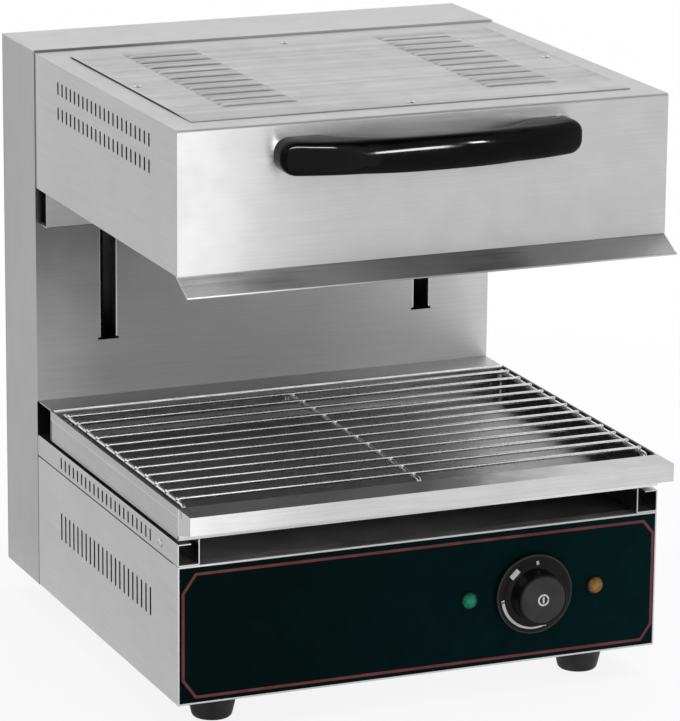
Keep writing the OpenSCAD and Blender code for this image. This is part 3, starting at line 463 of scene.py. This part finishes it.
# in the tray's shadow, deeper towards the right
DECK = brushed("stainless_deck", 0.2, 0.5, wear=1.6, fades=[(0.45, ("X", 0.0, 0.16))])
INNER = brushed("plain_inner_sheet", 0.30, 0.45, wear=1.5)
CHROME = plated("chromed_wire", 0.74, 0.26, 0.000004)
SCREW = plated("plated_screw", 0.66, 0.28)
SOOTED = plated("heat_stained_reflector", 0.16, 0.42)
GREY_STEEL = plated("drawn_steel", 0.55, 0.3)
BRASS = plated("machined_brass", (0.62, 0.46, 0.18), 0.3)
ENAMEL = moulded("black_stove_enamel", 0.008, 0.5, 700.0, 0.00006, Specular_IOR_Level=0.2)
FILM = printed_film("printed_film")
BORDER = moulded("border_print", (0.165, 0.045, 0.052), 0.5, 2400.0, 0.00001,
                 Specular_IOR_Level=0.1)
RUBBER = moulded("foot_rubber", 0.013, 0.62, 900.0, 0.0001, Specular_IOR_Level=0.3)
GLOSS_BLACK = moulded("handle_moulding", 0.0018, 0.085, 500.0, 0.000004, Specular_IOR_Level=0.07)
SATIN_BLACK = moulded("knob_moulding", 0.0045, 0.36, 1500.0, 0.00003, Specular_IOR_Level=0.12)
CAP_GREY = moulded("knob_cap_moulding", 0.036, 0.48, 1500.0, 0.00005, Specular_IOR_Level=0.15)
ROLLED = moulded("bright_rolled_edge", 0.8, 0.4, 900.0, 0.00001, Metallic=0.35)
WHITE = moulded("white_moulding", (0.72, 0.72, 0.68), 0.45)
PRINT = moulded("white_print", (0.66, 0.68, 0.68), 0.5)
IRON = moulded("cast_iron", (0.10, 0.105, 0.11), 0.6, 500.0, 0.0003, Metallic=0.6)
OXIDE = moulded("heater_sheath", (0.075, 0.068, 0.062), 0.5, 600.0, 0.00006, Metallic=0.7)
WOOL = moulded("fibre_blanket", (0.74, 0.70, 0.56), 0.95, 260.0, 0.0012)


def lens_glass(name, middle_x, lit_core, edge):
    """Coloured lens with painted light and shade: pale at its middle and deep at its edge, measured
    round the lamp's axis
    """
    f = Finish(name, Specular_IOR_Level=0.12)
    centre = put([(middle_x, 0, CONTROL_Z)])[0]
    flat = f.vector("MULTIPLY", f.vector("SUBTRACT", f.where, tuple(centre)), (1, 0, 1))
    from_axis = f.spread(f.length(flat), 0, 1, 0.0012, 0.0074)
    ribs = f.noise(420.0, 2.0)
    f.colour(f.blend(f.maths("ADD", from_axis, f.spread(ribs, -0.18, 0.18)), lit_core, edge))
    f.roughness(f.spread(ribs, 0.1, 0.22))
    f.relief(f.noise(900.0, 2.0), 0.00002, 0.5)
    return f


# painted light: each lens is pale in the middle, with painted shade at its edge
GREEN = lens_glass("green_lens", KNOB_X - LAMP_DX, (0.006, 0.30, 0.165), (0.001, 0.05, 0.028))
AMBER = lens_glass("amber_lens", KNOB_X + LAMP_DX, (0.36, 0.20, 0.06), (0.11, 0.055, 0.016))

SLOT_FINISH = {
    "stainless": STAINLESS, "inner_steel": INNER, "bright_steel": GREY_STEEL,
    "black_paint": ENAMEL, "panel_film": FILM, "rubber": RUBBER, "black_plastic": GLOSS_BLACK,
    "knob_plastic": SATIN_BLACK, "white_plastic": WHITE, "lamp_green": GREEN,
    "lamp_amber": AMBER, "brass": BRASS, "iron": IRON, "heater": OXIDE, "wool": WOOL,
}
for part in frame["record"]["subparts"]:
    NODES[part["node"]].material_slots[0].material = SLOT_FINISH[part["material_slot"]].material
NODES["weight_guides"].material_slots[0].material = COLUMN.material
NODES["reflector"].material_slots[0].material = SOOTED.material

# ---------- sheet metal ----------

def rolled_bead():
    """Straight round bead of radius 1.5 along the tray's rear rim"""
    x = np.linspace(-222.6, 222.6, 9)
    return tube(np.stack([x, np.full(9, 322.8), np.full(9, Z_RIM - 0.2)], 1), 1.5, 16)


for name in ("base_side_left", "base_side_right", "front_panel", "rear_ledge"):
    soften(name, STAINLESS, "base")
for name in ("side_rail_left", "side_rail_right"):
    soften(name, RAIL, "base")
soften("base_deck", DECK, "base")
soften("column_front", COLUMN_FACE, "base")
for name in ("column_shell", "rear_cover"):
    soften(name, COLUMN, "base")
soften("hood_shell", HOOD, "hood")
soften("hood_rear_shield", STAINLESS, "hood")
soften("drip_lip", LIP, "hood")
soften("drip_tray", TRAY, "tray")
rear_bead = build("tray_rear_bead", [rolled_bead()], ROLLED, "tray")
soften("cross_member", ENAMEL, "hood")


def louvred_plate():
    """Plate as a grid of lines in x and y. Each louvre rises from its front edge as a quarter
    ellipse, rise * sqrt(1 - (1 - t)^2), fades out as an ellipse over its last 8 mm at either end,
    and stands open at the rear: the row of cells behind its raised edge is left out. The side
    edges curl up by 1 mm over their last 9 mm, which leaves a thin gap over the hood. Rows close
    to each bend keep the shading of the flat parts flat."""
    half, front, back = 202, 28, 331         # the plate's outline
    centre, length, fade = 122, 70, 8        # the two columns of louvres
    first, pitch, rows = 74.5, 25, 10        # their front edges
    depth, rise, crack = 6, 1.9, 0.05        # one louvre, and the row of cells that stands open
    curled, close = 9, 0.4
    starts = first + pitch * np.arange(rows)

    def past_start(y):
        """How far y lies behind the front edge of the louvre before it"""
        return np.min(np.where(y[..., None] >= starts - 1e-6, y[..., None] - starts, 99), -1)

    from_end = np.concatenate([[-0.3], fade * np.array([0, 0.1, 0.3, 0.6, 1.0]), [length / 2]])
    louvre = np.concatenate([from_end - length / 2, -(from_end - length / 2)[-2::-1]])
    rim = half - np.array([0, close, 2.5, 5, curled])
    xs = np.concatenate([-rim, louvre - centre, [0], louvre + centre, rim[::-1]])
    ease = np.array([0, 0.07, 0.2, 0.4, 0.65, 1.0])
    step = np.concatenate([[-close], ease * depth, [depth + crack]])
    ys = np.concatenate([[front, front + close], (starts[:, None] + step).ravel(),
                         [back - close, back]])
    x, y = np.meshgrid(xs, ys, indexing="ij")
    inset = length / 2 - np.abs(np.abs(x) - centre)
    ends = np.sqrt(np.clip(1 - (1 - np.clip(inset / fade, 0, 1)) ** 2, 0, 1))
    t = np.where(past_start(y) <= depth + 1e-6, past_start(y) / depth, 0)
    curl = np.clip((np.abs(x) - half + curled) / curled, 0, 1) ** 2 * np.clip((y - front) / 8, 0, 1)
    z = Z_PLATE + curl + rise * ends * np.sqrt(np.clip(1 - (1 - t) ** 2, 0, 1))
    points = np.stack([x, y, z], -1).reshape(-1, 3)
    faces = np.array(grid_faces(len(xs), len(ys)))
    middle = points[faces].mean(1)
    behind = past_start(middle[:, 1])
    is_raised = points[faces][..., 2].max(1) > Z_PLATE + 0.4
    opening = (behind > depth) & (behind < depth + crack) & is_raised
    opening &= np.abs(middle[:, 0]) < half - curled - 1
    return points, faces[~opening].tolist()


plate = build("hood_top_plate_pressed", [louvred_plate()], PLATE, "hood",
              ["hood_top_plate"])
if plate.data.polygons[0].normal.z < 0:
    plate.data.flip_normals()
wall = plate.modifiers.new("sheet_thickness", "SOLIDIFY")
wall.thickness, wall.offset = 0.00095, -1


def pan_head(at, axis):
    """Domed screw head: a square grid drawn into a disc, height * (0.3 + 0.7 (1 - r^2)^0.6),
    with a cross recess pressed into it, and a skirt down to its seat"""
    radius, height, n = 4, 1.8, 17
    u = np.linspace(-1, 1, n)
    a, b = np.meshgrid(u, u, indexing="ij")
    r = np.maximum(np.abs(a), np.abs(b))
    shrink = np.hypot(a, b) + 1e-9
    x, y = a / shrink * r, b / shrink * r
    dome = height * (0.3 + 0.7 * np.clip(1 - r ** 2, 0, 1) ** 0.6)
    cross = (np.minimum(np.abs(x), np.abs(y)) < 0.14) & (r < 0.62)
    z = dome - np.where(cross, 0.5 * height, 0)
    top = np.stack([x * radius, y * radius, z], -1).reshape(-1, 3)
    index = np.arange(n * n).reshape(n, n)
    rim = np.concatenate([index[:-1, 0], index[-1, :-1], index[:0:-1, -1], index[0, :0:-1]])
    foot = n * n + np.arange(len(rim))
    skirt = np.stack([rim, np.roll(rim, -1), np.roll(foot, -1), foot], 1)
    faces = grid_faces(n, n) + skirt.tolist() + [foot.tolist()]
    return np.concatenate([top, top[rim] * (1, 1, 0)]) @ square_to(axis) + np.asarray(at, float), faces


build("top_screws_crossed", [pan_head((x, y, Z_PLATE), (0, 0, 1))
                             for x, y in ((-193.5, 179.5), (193.5, 179.5), (0, 36.5), (0, 322.5))],
      SCREW, "hood", ["top_screws"])
build("case_screws_crossed", [pan_head((s * HALF_W, 42.6, 163), (s, 0, 0)) for s in (-1, 1)],
      SCREW, "base", ["case_screws"])
build("rear_screws_crossed", [pan_head((s * 218, BACK_Y, 60 + k * 440 / 3), (0, 1, 0))
                              for s in (-1, 1) for k in range(4)],
      SCREW, "base", ["rear_screws"])


# ---------- handle ----------

def handle_skin():
    """Sections across x, each a superellipse |y|^n + |z|^n = 1 between the outer bow and the
    inner bow; past the finger gap the section is cut off flat where it meets the hood. Both bows
    go with (distance from the middle)^2.6, and n grows from 2.7 to 5.5 over the feet."""
    half, gap = 138, 90                # half the handle's length, and of its finger gap
    middle_z, aside = 501, -1.8        # its height, and how far it sits off the middle
    crown, bowed, grip_back = 42, 24, 28
    tip, edge = 13, 4                  # rounding of the ends, and of their front edges
    off = tip * (1 - np.cos(np.linspace(0, pi / 2, 9)))
    x = np.concatenate([-half + off, np.linspace(2 - half + tip, half - tip - 2, 61),
                        half - off[::-1]])
    reach = np.abs(x)
    past_edge = np.clip(reach - (half - edge), 0, edge)
    outer = -crown + bowed * (reach / half) ** 2.6 + edge - np.sqrt(edge ** 2 - past_edge ** 2)
    inner = np.minimum(-grip_back + grip_back * (reach / gap) ** 2.6, 9)
    tall = 2 + np.sqrt(tip ** 2 - np.clip(reach - (half - tip), 0, tip) ** 2)
    power = 2.7 + 2.8 * np.clip((reach - 70) / 30, 0, 1)
    a = np.linspace(0, 2 * pi, 48, endpoint=False)
    c, s = np.cos(a)[None], np.sin(a)[None]
    p = (2 / power)[:, None]
    y = ((outer + inner) / 2)[:, None] + ((inner - outer) / 2)[:, None] * np.sign(c) * abs(c) ** p
    z = middle_z + tall[:, None] * np.sign(s) * abs(s) ** p
    x = np.broadcast_to(x[:, None] + aside, y.shape)
    return swept(np.stack([x, np.minimum(y, -0.05), z], -1))


bow = build("handle_bow", [handle_skin()], GLOSS_BLACK, "hood", ["handle"], angle=45)

# ---------- controls ----------

skirt_y = FASCIA_Y - 1.5      # underside of the knob's skirt
cap_y = skirt_y - 22.0        # face of the grey disc in its end
knob_profile = [(0, 0.2), (34.8, 0.2), (35.9, 0.6), (36.2, 1.4), (36.0, 2.6), (35.1, 3.5),
                (33.8, 3.9), (29, 4.3), (25, 4.6), (23.8, 5.4), (23.4, 7.5), (23.2, 19.5),
                (23.1, 21.3), (22.7, 22.3), (21.9, 22.7), (21.2, 22.4), (21.0, 21.2), (0, 21.2)]
cap_profile = [(0, 21.0), (20.9, 21.0), (21.1, 21.6), (20.9, 21.9), (20.4, 22.0), (0, 22.0)]
dial = ((KNOB_X, skirt_y, CONTROL_Z), (0, -1, 0), 96)
knob = build("knob_turned", [turned(knob_profile, *dial)], SATIN_BLACK, "control_knob",
             ["knob"])
knob_cap = build("knob_cap", [turned(cap_profile, *dial)], CAP_GREY, "control_knob")


PRINT_DEPTH = 0.12


def dial_band(start, stop, radius, wide_from, wide_to, y, steps=24):
    """Flat printed arc round the knob's middle, its width changing from start to stop"""
    a = np.radians(np.linspace(start, stop, steps))
    half = np.linspace(wide_from, wide_to, steps) / 2
    section = [(radius - half, 0), (radius + half, 0), (radius + half, PRINT_DEPTH),
               (radius - half, PRINT_DEPTH)]
    lines = [np.stack([KNOB_X + r * np.cos(a), np.full(steps, y - depth),
                       CONTROL_Z + r * np.sin(a)], -1) for r, depth in section]
    return swept(np.stack(lines, 1))


def dial_patch(angle, radius, length, width, y, lean=0.0):
    """Small printed bar: length runs away from the knob's middle, turned by lean degrees"""
    a, b = radians(angle), radians(angle + lean)
    along, across = np.array([cos(b), 0, sin(b)]), np.array([-sin(b), 0, cos(b)])
    centre = np.array([KNOB_X, y, CONTROL_Z]) + radius * np.array([cos(a), 0, sin(a)])
    square = [(-1, -1), (1, -1), (1, 1), (-1, 1)]
    return swept(np.array([[centre + s * length / 2 * along + t * width / 2 * across + (0, d, 0)
                            for s, t in square] for d in (0, -PRINT_DEPTH)]))


# the skirt slopes, so marks nearer the knob's body stand further forward
mark_y, inner_mark_y, cap_mark_y = skirt_y - 4.15, skirt_y - 4.6, cap_y + 0.05
# painted highlight: a grey band round the skirt stands in for the light along its rim
build("knob_rim_highlight_band", [dial_band(0, 360, 35.2, 1.5, 1.5, skirt_y - 3.7, 97)], CAP_GREY,
      "control_knob")
build("knob_marks", [dial_band(187, 288, 30.6, 3.0, 1.4, mark_y),           # tapering arc
                     dial_patch(187, 30.6, 3.2, 2.6, mark_y, 20),           # its blunt start
                     dial_patch(134, 28.4, 9.6, 5.0, inner_mark_y, 90),     # wide bar
                     dial_patch(86, 28.6, 3.6, 2.3, inner_mark_y, 14),      # tick
                     dial_patch(290, 30.4, 2.6, 2.6, mark_y, 45),           # the arc's point
                     dial_band(0, 360, 4.6, 1.5, 1.5, cap_mark_y, 33),      # ring on the cap
                     dial_patch(90, 0, 5.4, 1.7, cap_mark_y)],              # bar in the ring
      PRINT, "control_knob")


lens_profile = [(0, 0.1), (7.5, 0.1), (7.5, 1.5), (6.9, 2.6), (5.1, 3.6), (2.5, 4.1), (0, 4.2)]
collar_profile = [(7.5, 0.05), (8.2, 0.05), (8.3, 0.4), (8.2, 0.9), (7.9, 1.2), (7.5, 1.1)]


def lamp(name, dx, finish, node):
    """Ribbed lens: a twelve-sided dome on a round collar"""
    at = (KNOB_X + dx, FASCIA_Y, CONTROL_Z)
    dome = turned(lens_profile, at, (0, -1, 0), 12, 0.13)
    collar_points, _ = turned(collar_profile, at, (0, -1, 0), 48)
    collar_faces = grid_faces(len(collar_profile), 48, True, True)
    build(name + "_collar", [(collar_points, collar_faces)], SATIN_BLACK, "base")
    return build(name + "_lens", [dome], finish, "base", [node], angle=8)


lenses = [lamp("green", -LAMP_DX, GREEN, "lamp_green"), lamp("amber", LAMP_DX, AMBER, "lamp_amber")]


def border_strip():
    """Printed line that runs round the film: an outline with cut corners, and the same
    outline drawn inwards by the line's width"""
    width, thick = 2.5, 0.06
    outline = np.array([(-221.6, 52), (-209.5, 35.5), (212.5, 35.5), (222.6, 50), (222.6, 135),
                        (212.5, 147.3), (-209.5, 147.3), (-221.6, 130)])
    ahead = np.roll(outline, -1, 0) - outline
    inward = np.stack([-ahead[:, 1], ahead[:, 0]], 1) / np.linalg.norm(ahead, axis=1)[:, None]
    before = np.roll(inward, 1, 0)
    shift = (inward + before) / (1 + (inward * before).sum(1))[:, None]
    inner = outline + width * shift
    rings = [np.stack([p[:, 0], np.full(len(p), FASCIA_Y - d), p[:, 1]], -1)
             for p, d in ((outline, 0), (inner, 0), (inner, thick), (outline, thick))]
    return swept(np.stack(rings, 1), closed=True)


build("border_line", [border_strip()], BORDER, "base")

# ---------- feet ----------

# up inside the screw's recess, round the sole, and up the tapering side
foot_profile = [(0, 12), (9, 12), (9, 1.0), (9.6, 0.2), (10.4, 0), (14.5, 0), (16.2, 0.5),
                (17.4, 1.7), (18, 3.4), (20.2, 13), (21.9, 21), (23.2, 27.6), (23.6, 29.2),
                (24, 29.95), (0, 29.95)]
build("rubber_feet_turned", [turned(foot_profile, (x, y, 0), (0, 0, 1), 48)
                             for x in (-175, 175) for y in (50, 402)],
      RUBBER, "base", ["rubber_feet"])


# ---------- wire grid ----------

weld_profile = [(0, -1.6), (1.9, -1.1), (2.3, 0.2), (2.0, 1.8), (1.2, 2.7), (0, 3.0)]
leg_profile = [(0, 178.2), (1.3, 178.3), (1.8, 178.9), (1.8, 202), (0, 202)]


def grid_wires():
    """Frame wire whose front and rear runs are bent down below its sides, a middle wire bent
    down in the same way, twelve cross wires with round ends welded on top, weld beads where
    they cross, and four legs. The grid lies a little to the right in its tray."""
    side, front, back, aside = 217, 13, 318, 2.2
    z, low, z_cross, z_weld = 202.5, 193.5, 205.5, 204.2
    frame_r, cross_r, bend = 2.3, 1.7, 4.4
    left, right = aside - side, aside + side
    corners = [(left, front, low), (right, front, low), (right, front, z), (right, back, z),
               (right, back, low), (left, back, low), (left, back, z), (left, front, z)]
    parts = [tube(rounded(corners, bend, 7), frame_r, 14, closed=True, up=(0.6, 0.5, 0.62))]
    a = np.linspace(0, pi / 2, 6)
    run, rise = bend * (1 - np.cos(a)), z - bend * (1 - np.sin(a))
    y = np.concatenate([[front], front + run, back - run[::-1], [back]])
    height = np.concatenate([[low], rise, rise[::-1], [low]])
    middle_wire = np.stack([np.full(len(y), aside), y, height], 1)
    parts.append(tube(middle_wire, frame_r - 0.2, 12, up=(1, 0, 0)))
    end = cross_r * np.array([0.0, 0.5, 0.86, 1.0])
    inwards = 1.5 * np.array([0, 0.13, 0.5, 1])
    xs = np.concatenate([left - 2 + inwards, [aside], right + 2 - inwards[::-1]])
    radius = np.concatenate([end, [cross_r], end[::-1]]) + 0.02
    for y in np.linspace(26.5, 302.5, 12):
        cross_wire = np.stack([xs, np.full(len(xs), y), np.full(len(xs), z_cross)], 1)
        parts.append(tube(cross_wire, radius, 12))
        parts += [turned(weld_profile, (x, y, z_weld), (0, 0, 1), 12) for x in (left, aside, right)]
    parts += [turned(leg_profile, (x, y, 0), (0, 0, 1), 12) for x in (left, right) for y in (20, 315)]
    return parts


build("wire_grid_welded", grid_wires(), CHROME, "grid", ["wire_grid"])


# ---------- ropes ----------

def strand(x, y, low, high):
    """Laid wire rope: radius 1.1 + 0.15 |cos 3(a - twist)|, the lay turning once in 16 mm"""
    z = np.arange(low, high + 0.01, 1.0)
    a = np.linspace(0, 2 * pi, 24, endpoint=False)
    twist = 2 * pi * z[:, None] / 16
    r = 1.1 + 0.15 * np.abs(np.cos(3 * (a[None] - twist)))
    return swept(np.stack([x + r * np.cos(a), y + r * np.sin(a),
                           np.broadcast_to(z[:, None], r.shape)], -1))


# from the anchors up to the pulleys' axles
ropes = build("hood_ropes_laid", [strand(x, 396, 460, 491) for x in (-60, 60)], GREY_STEEL, None,
              ["hood_ropes"])
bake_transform(ropes)
ropes = build("weight_ropes_laid", [strand(x, 432, 320, 491) for x in (-60, 60)], GREY_STEEL, None,
              ["weight_ropes"])
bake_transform(ropes)

# ---------- camera, light and floor ----------

scene = bpy.context.scene
scene.view_settings.view_transform = "Standard"


def set_camera(azimuth, elevation, roll, focal, place, frame_height=721):
    """Long lens at the given angles; focal is in pixels of a frame that high"""
    az, el, ro = (radians(v) for v in (azimuth, elevation, roll))
    back = Vector((sin(az) * cos(el), -cos(az) * cos(el), sin(el)))
    right = Vector((cos(az), sin(az), 0))
    up = back.cross(right)
    turn = Matrix((right * cos(ro) + up * sin(ro), -right * sin(ro) + up * cos(ro), back))
    data = bpy.data.cameras.new("view")
    data.sensor_width = 36
    data.lens = focal * data.sensor_width / frame_height
    data.clip_start, data.clip_end = 0.05, 60
    camera = bpy.data.objects.new("view", data)
    camera.matrix_world = Matrix.Translation(place) @ turn.transposed().to_4x4()
    scene.collection.objects.link(camera)
    scene.camera = camera


set_camera(azimuth=-22.8628, elevation=14.9331, roll=0.4862, focal=4293.761,
           place=(-1.437567, -3.428774, 1.252733))


def softbox(name, place, aim, width, height, power, glossy=True, diffuse=True, only=()):
    """Soft panel light that faces its aim; with only, nothing but those pieces receives it"""
    data = bpy.data.lights.new(name, "AREA")
    data.shape, data.size, data.size_y, data.energy = "RECTANGLE", width, height, power
    light = bpy.data.objects.new(name, data)
    facing = (Vector(aim) - Vector(place)).to_track_quat("-Z", "Y").to_matrix()
    light.matrix_world = Matrix.Translation(place) @ facing.to_4x4()
    light.visible_camera = False
    light.visible_glossy, light.visible_diffuse = glossy, diffuse
    scene.collection.objects.link(light)
    if only:
        group = bpy.data.collections.new(name + "_receivers")
        for piece in only:
            group.objects.link(piece)
        light.light_linking.receiver_collection = group


# a bright upright panel that the front's left half mirrors
softbox("near_left_box", (-0.216, -0.65, 0.5), (-0.216, 0, 0.42), 0.47, 1.1, 1.55, diffuse=False)
# panels that draw the streaks along the handle, from its left end to its right
for k, (place, width, height, power) in enumerate([((-0.50, -1.35, 0.92), 0.7, 0.17, 50),
                                                   ((0.32, -1.48, 0.47), 0.42, 0.12, 26),
                                                   ((0.65, -1.38, 0.62), 0.09, 0.12, 7)]):
    softbox(f"spark_{k}", place, (0, -0.2, 0.5), width, height, power, diffuse=False, only=[bow])
softbox("knob_spark", (-0.64, -0.8, 0.99), (0.105, -0.22, 0.093), 0.3, 0.3, 14, diffuse=False,
        only=[knob, knob_cap, *lenses])
softbox("rim_light", (-0.3, -1.5, 0.42), (0, 0.118, 0.204), 0.5, 0.2, 24,
        glossy=False, only=[rear_bead])
softbox("top_box", (0.3, -0.4, 2.4), (0, 0, 0.2), 1.8, 1.8, 26, glossy=False)


def studio_world():
    """The camera sees even white all round, and matt surfaces are lit by 0.65 of it. Metal and
    glass mirror surroundings of 1.1 that fall to 0.06 where z - 0.45 y goes from 0.8 to 1.0,
    so they are dark overhead and high up in front."""
    world = bpy.data.worlds.new("studio")
    scene.world = world
    world.use_nodes = True
    w = Nodes(world.node_tree)
    ray = w.add("LightPath").outputs
    towards = w.axes(w.add("TexCoord").outputs["Generated"])
    height = w.maths("ADD", w.maths("MULTIPLY", towards["Y"], -0.45), towards["Z"])
    ceiling = w.spread(height, 1.1, 0.06, 0.8, 1.0)
    mirrors = w.maths("MAXIMUM", ray["Is Glossy Ray"], ray["Is Transmission Ray"])
    on_pieces = w.add("Mix", {"Factor": mirrors, "A": 0.65, "B": ceiling}).outputs["Result"]
    level = w.add("Mix", {"Factor": ray["Is Camera Ray"], "A": on_pieces, "B": 1.0}).outputs["Result"]
    background = w.nodes["Background"].inputs
    w.feed(background["Strength"], level)
    w.feed(background["Color"], (1, 1, 1))


def pale_floor():
    """Wide level sheet. What the camera sees of it is mostly its own white, and all but white
    past 1.2 m, so the shadow stays soft. Metal sees it at 0.85 of its white, darker towards the
    left and brighter far in front."""
    half = 9
    mesh = bpy.data.meshes.new("floor")
    mesh.from_pydata([(-half, -half, 0), (half, -half, 0), (half, half, 0), (-half, half, 0)], [],
                     [(0, 1, 2, 3)])
    floor = bpy.data.objects.new("floor", mesh)
    scene.collection.objects.link(floor)
    f = Finish("pale_floor", Roughness=0.9)
    f.colour(f.blend(f.spread(f.noise(3.0), 0, 1), 0.80, 0.82))
    ray = f.add("LightPath").outputs
    spot = f.axes(f.where)
    level = f.maths("MULTIPLY", f.spread(spot["X"], 0.62, 1.0, -0.35, 0.0),
                    f.spread(spot["Y"], 0.98, 1.12, -1.7, -0.8))
    mirrored = f.add("Emission", {"Color": (1, 1, 1), "Strength": level}).outputs[0]
    white = f.add("Emission", {"Color": (1, 1, 1), "Strength": 1.0}).outputs[0]
    glow = f.add("MixShader", {0: ray["Is Camera Ray"], 1: mirrored, 2: white}).outputs[0]
    mirrors = f.maths("MAXIMUM", ray["Is Glossy Ray"], ray["Is Transmission Ray"])
    far_white = f.spread(f.length(f.where), 0.86, 0.99, 0.3, 1.2)
    by_camera = f.maths("MULTIPLY", ray["Is Camera Ray"], far_white)
    share = f.maths("MAXIMUM", by_camera, f.maths("MULTIPLY", mirrors, 0.85))
    surface = f.add("MixShader", {0: share, 1: f.shader.outputs[0], 2: glow}).outputs[0]
    f.feed(f.nodes["Material Output"].inputs["Surface"], surface)
    mesh.materials.append(f.material)


studio_world()
pale_floor()
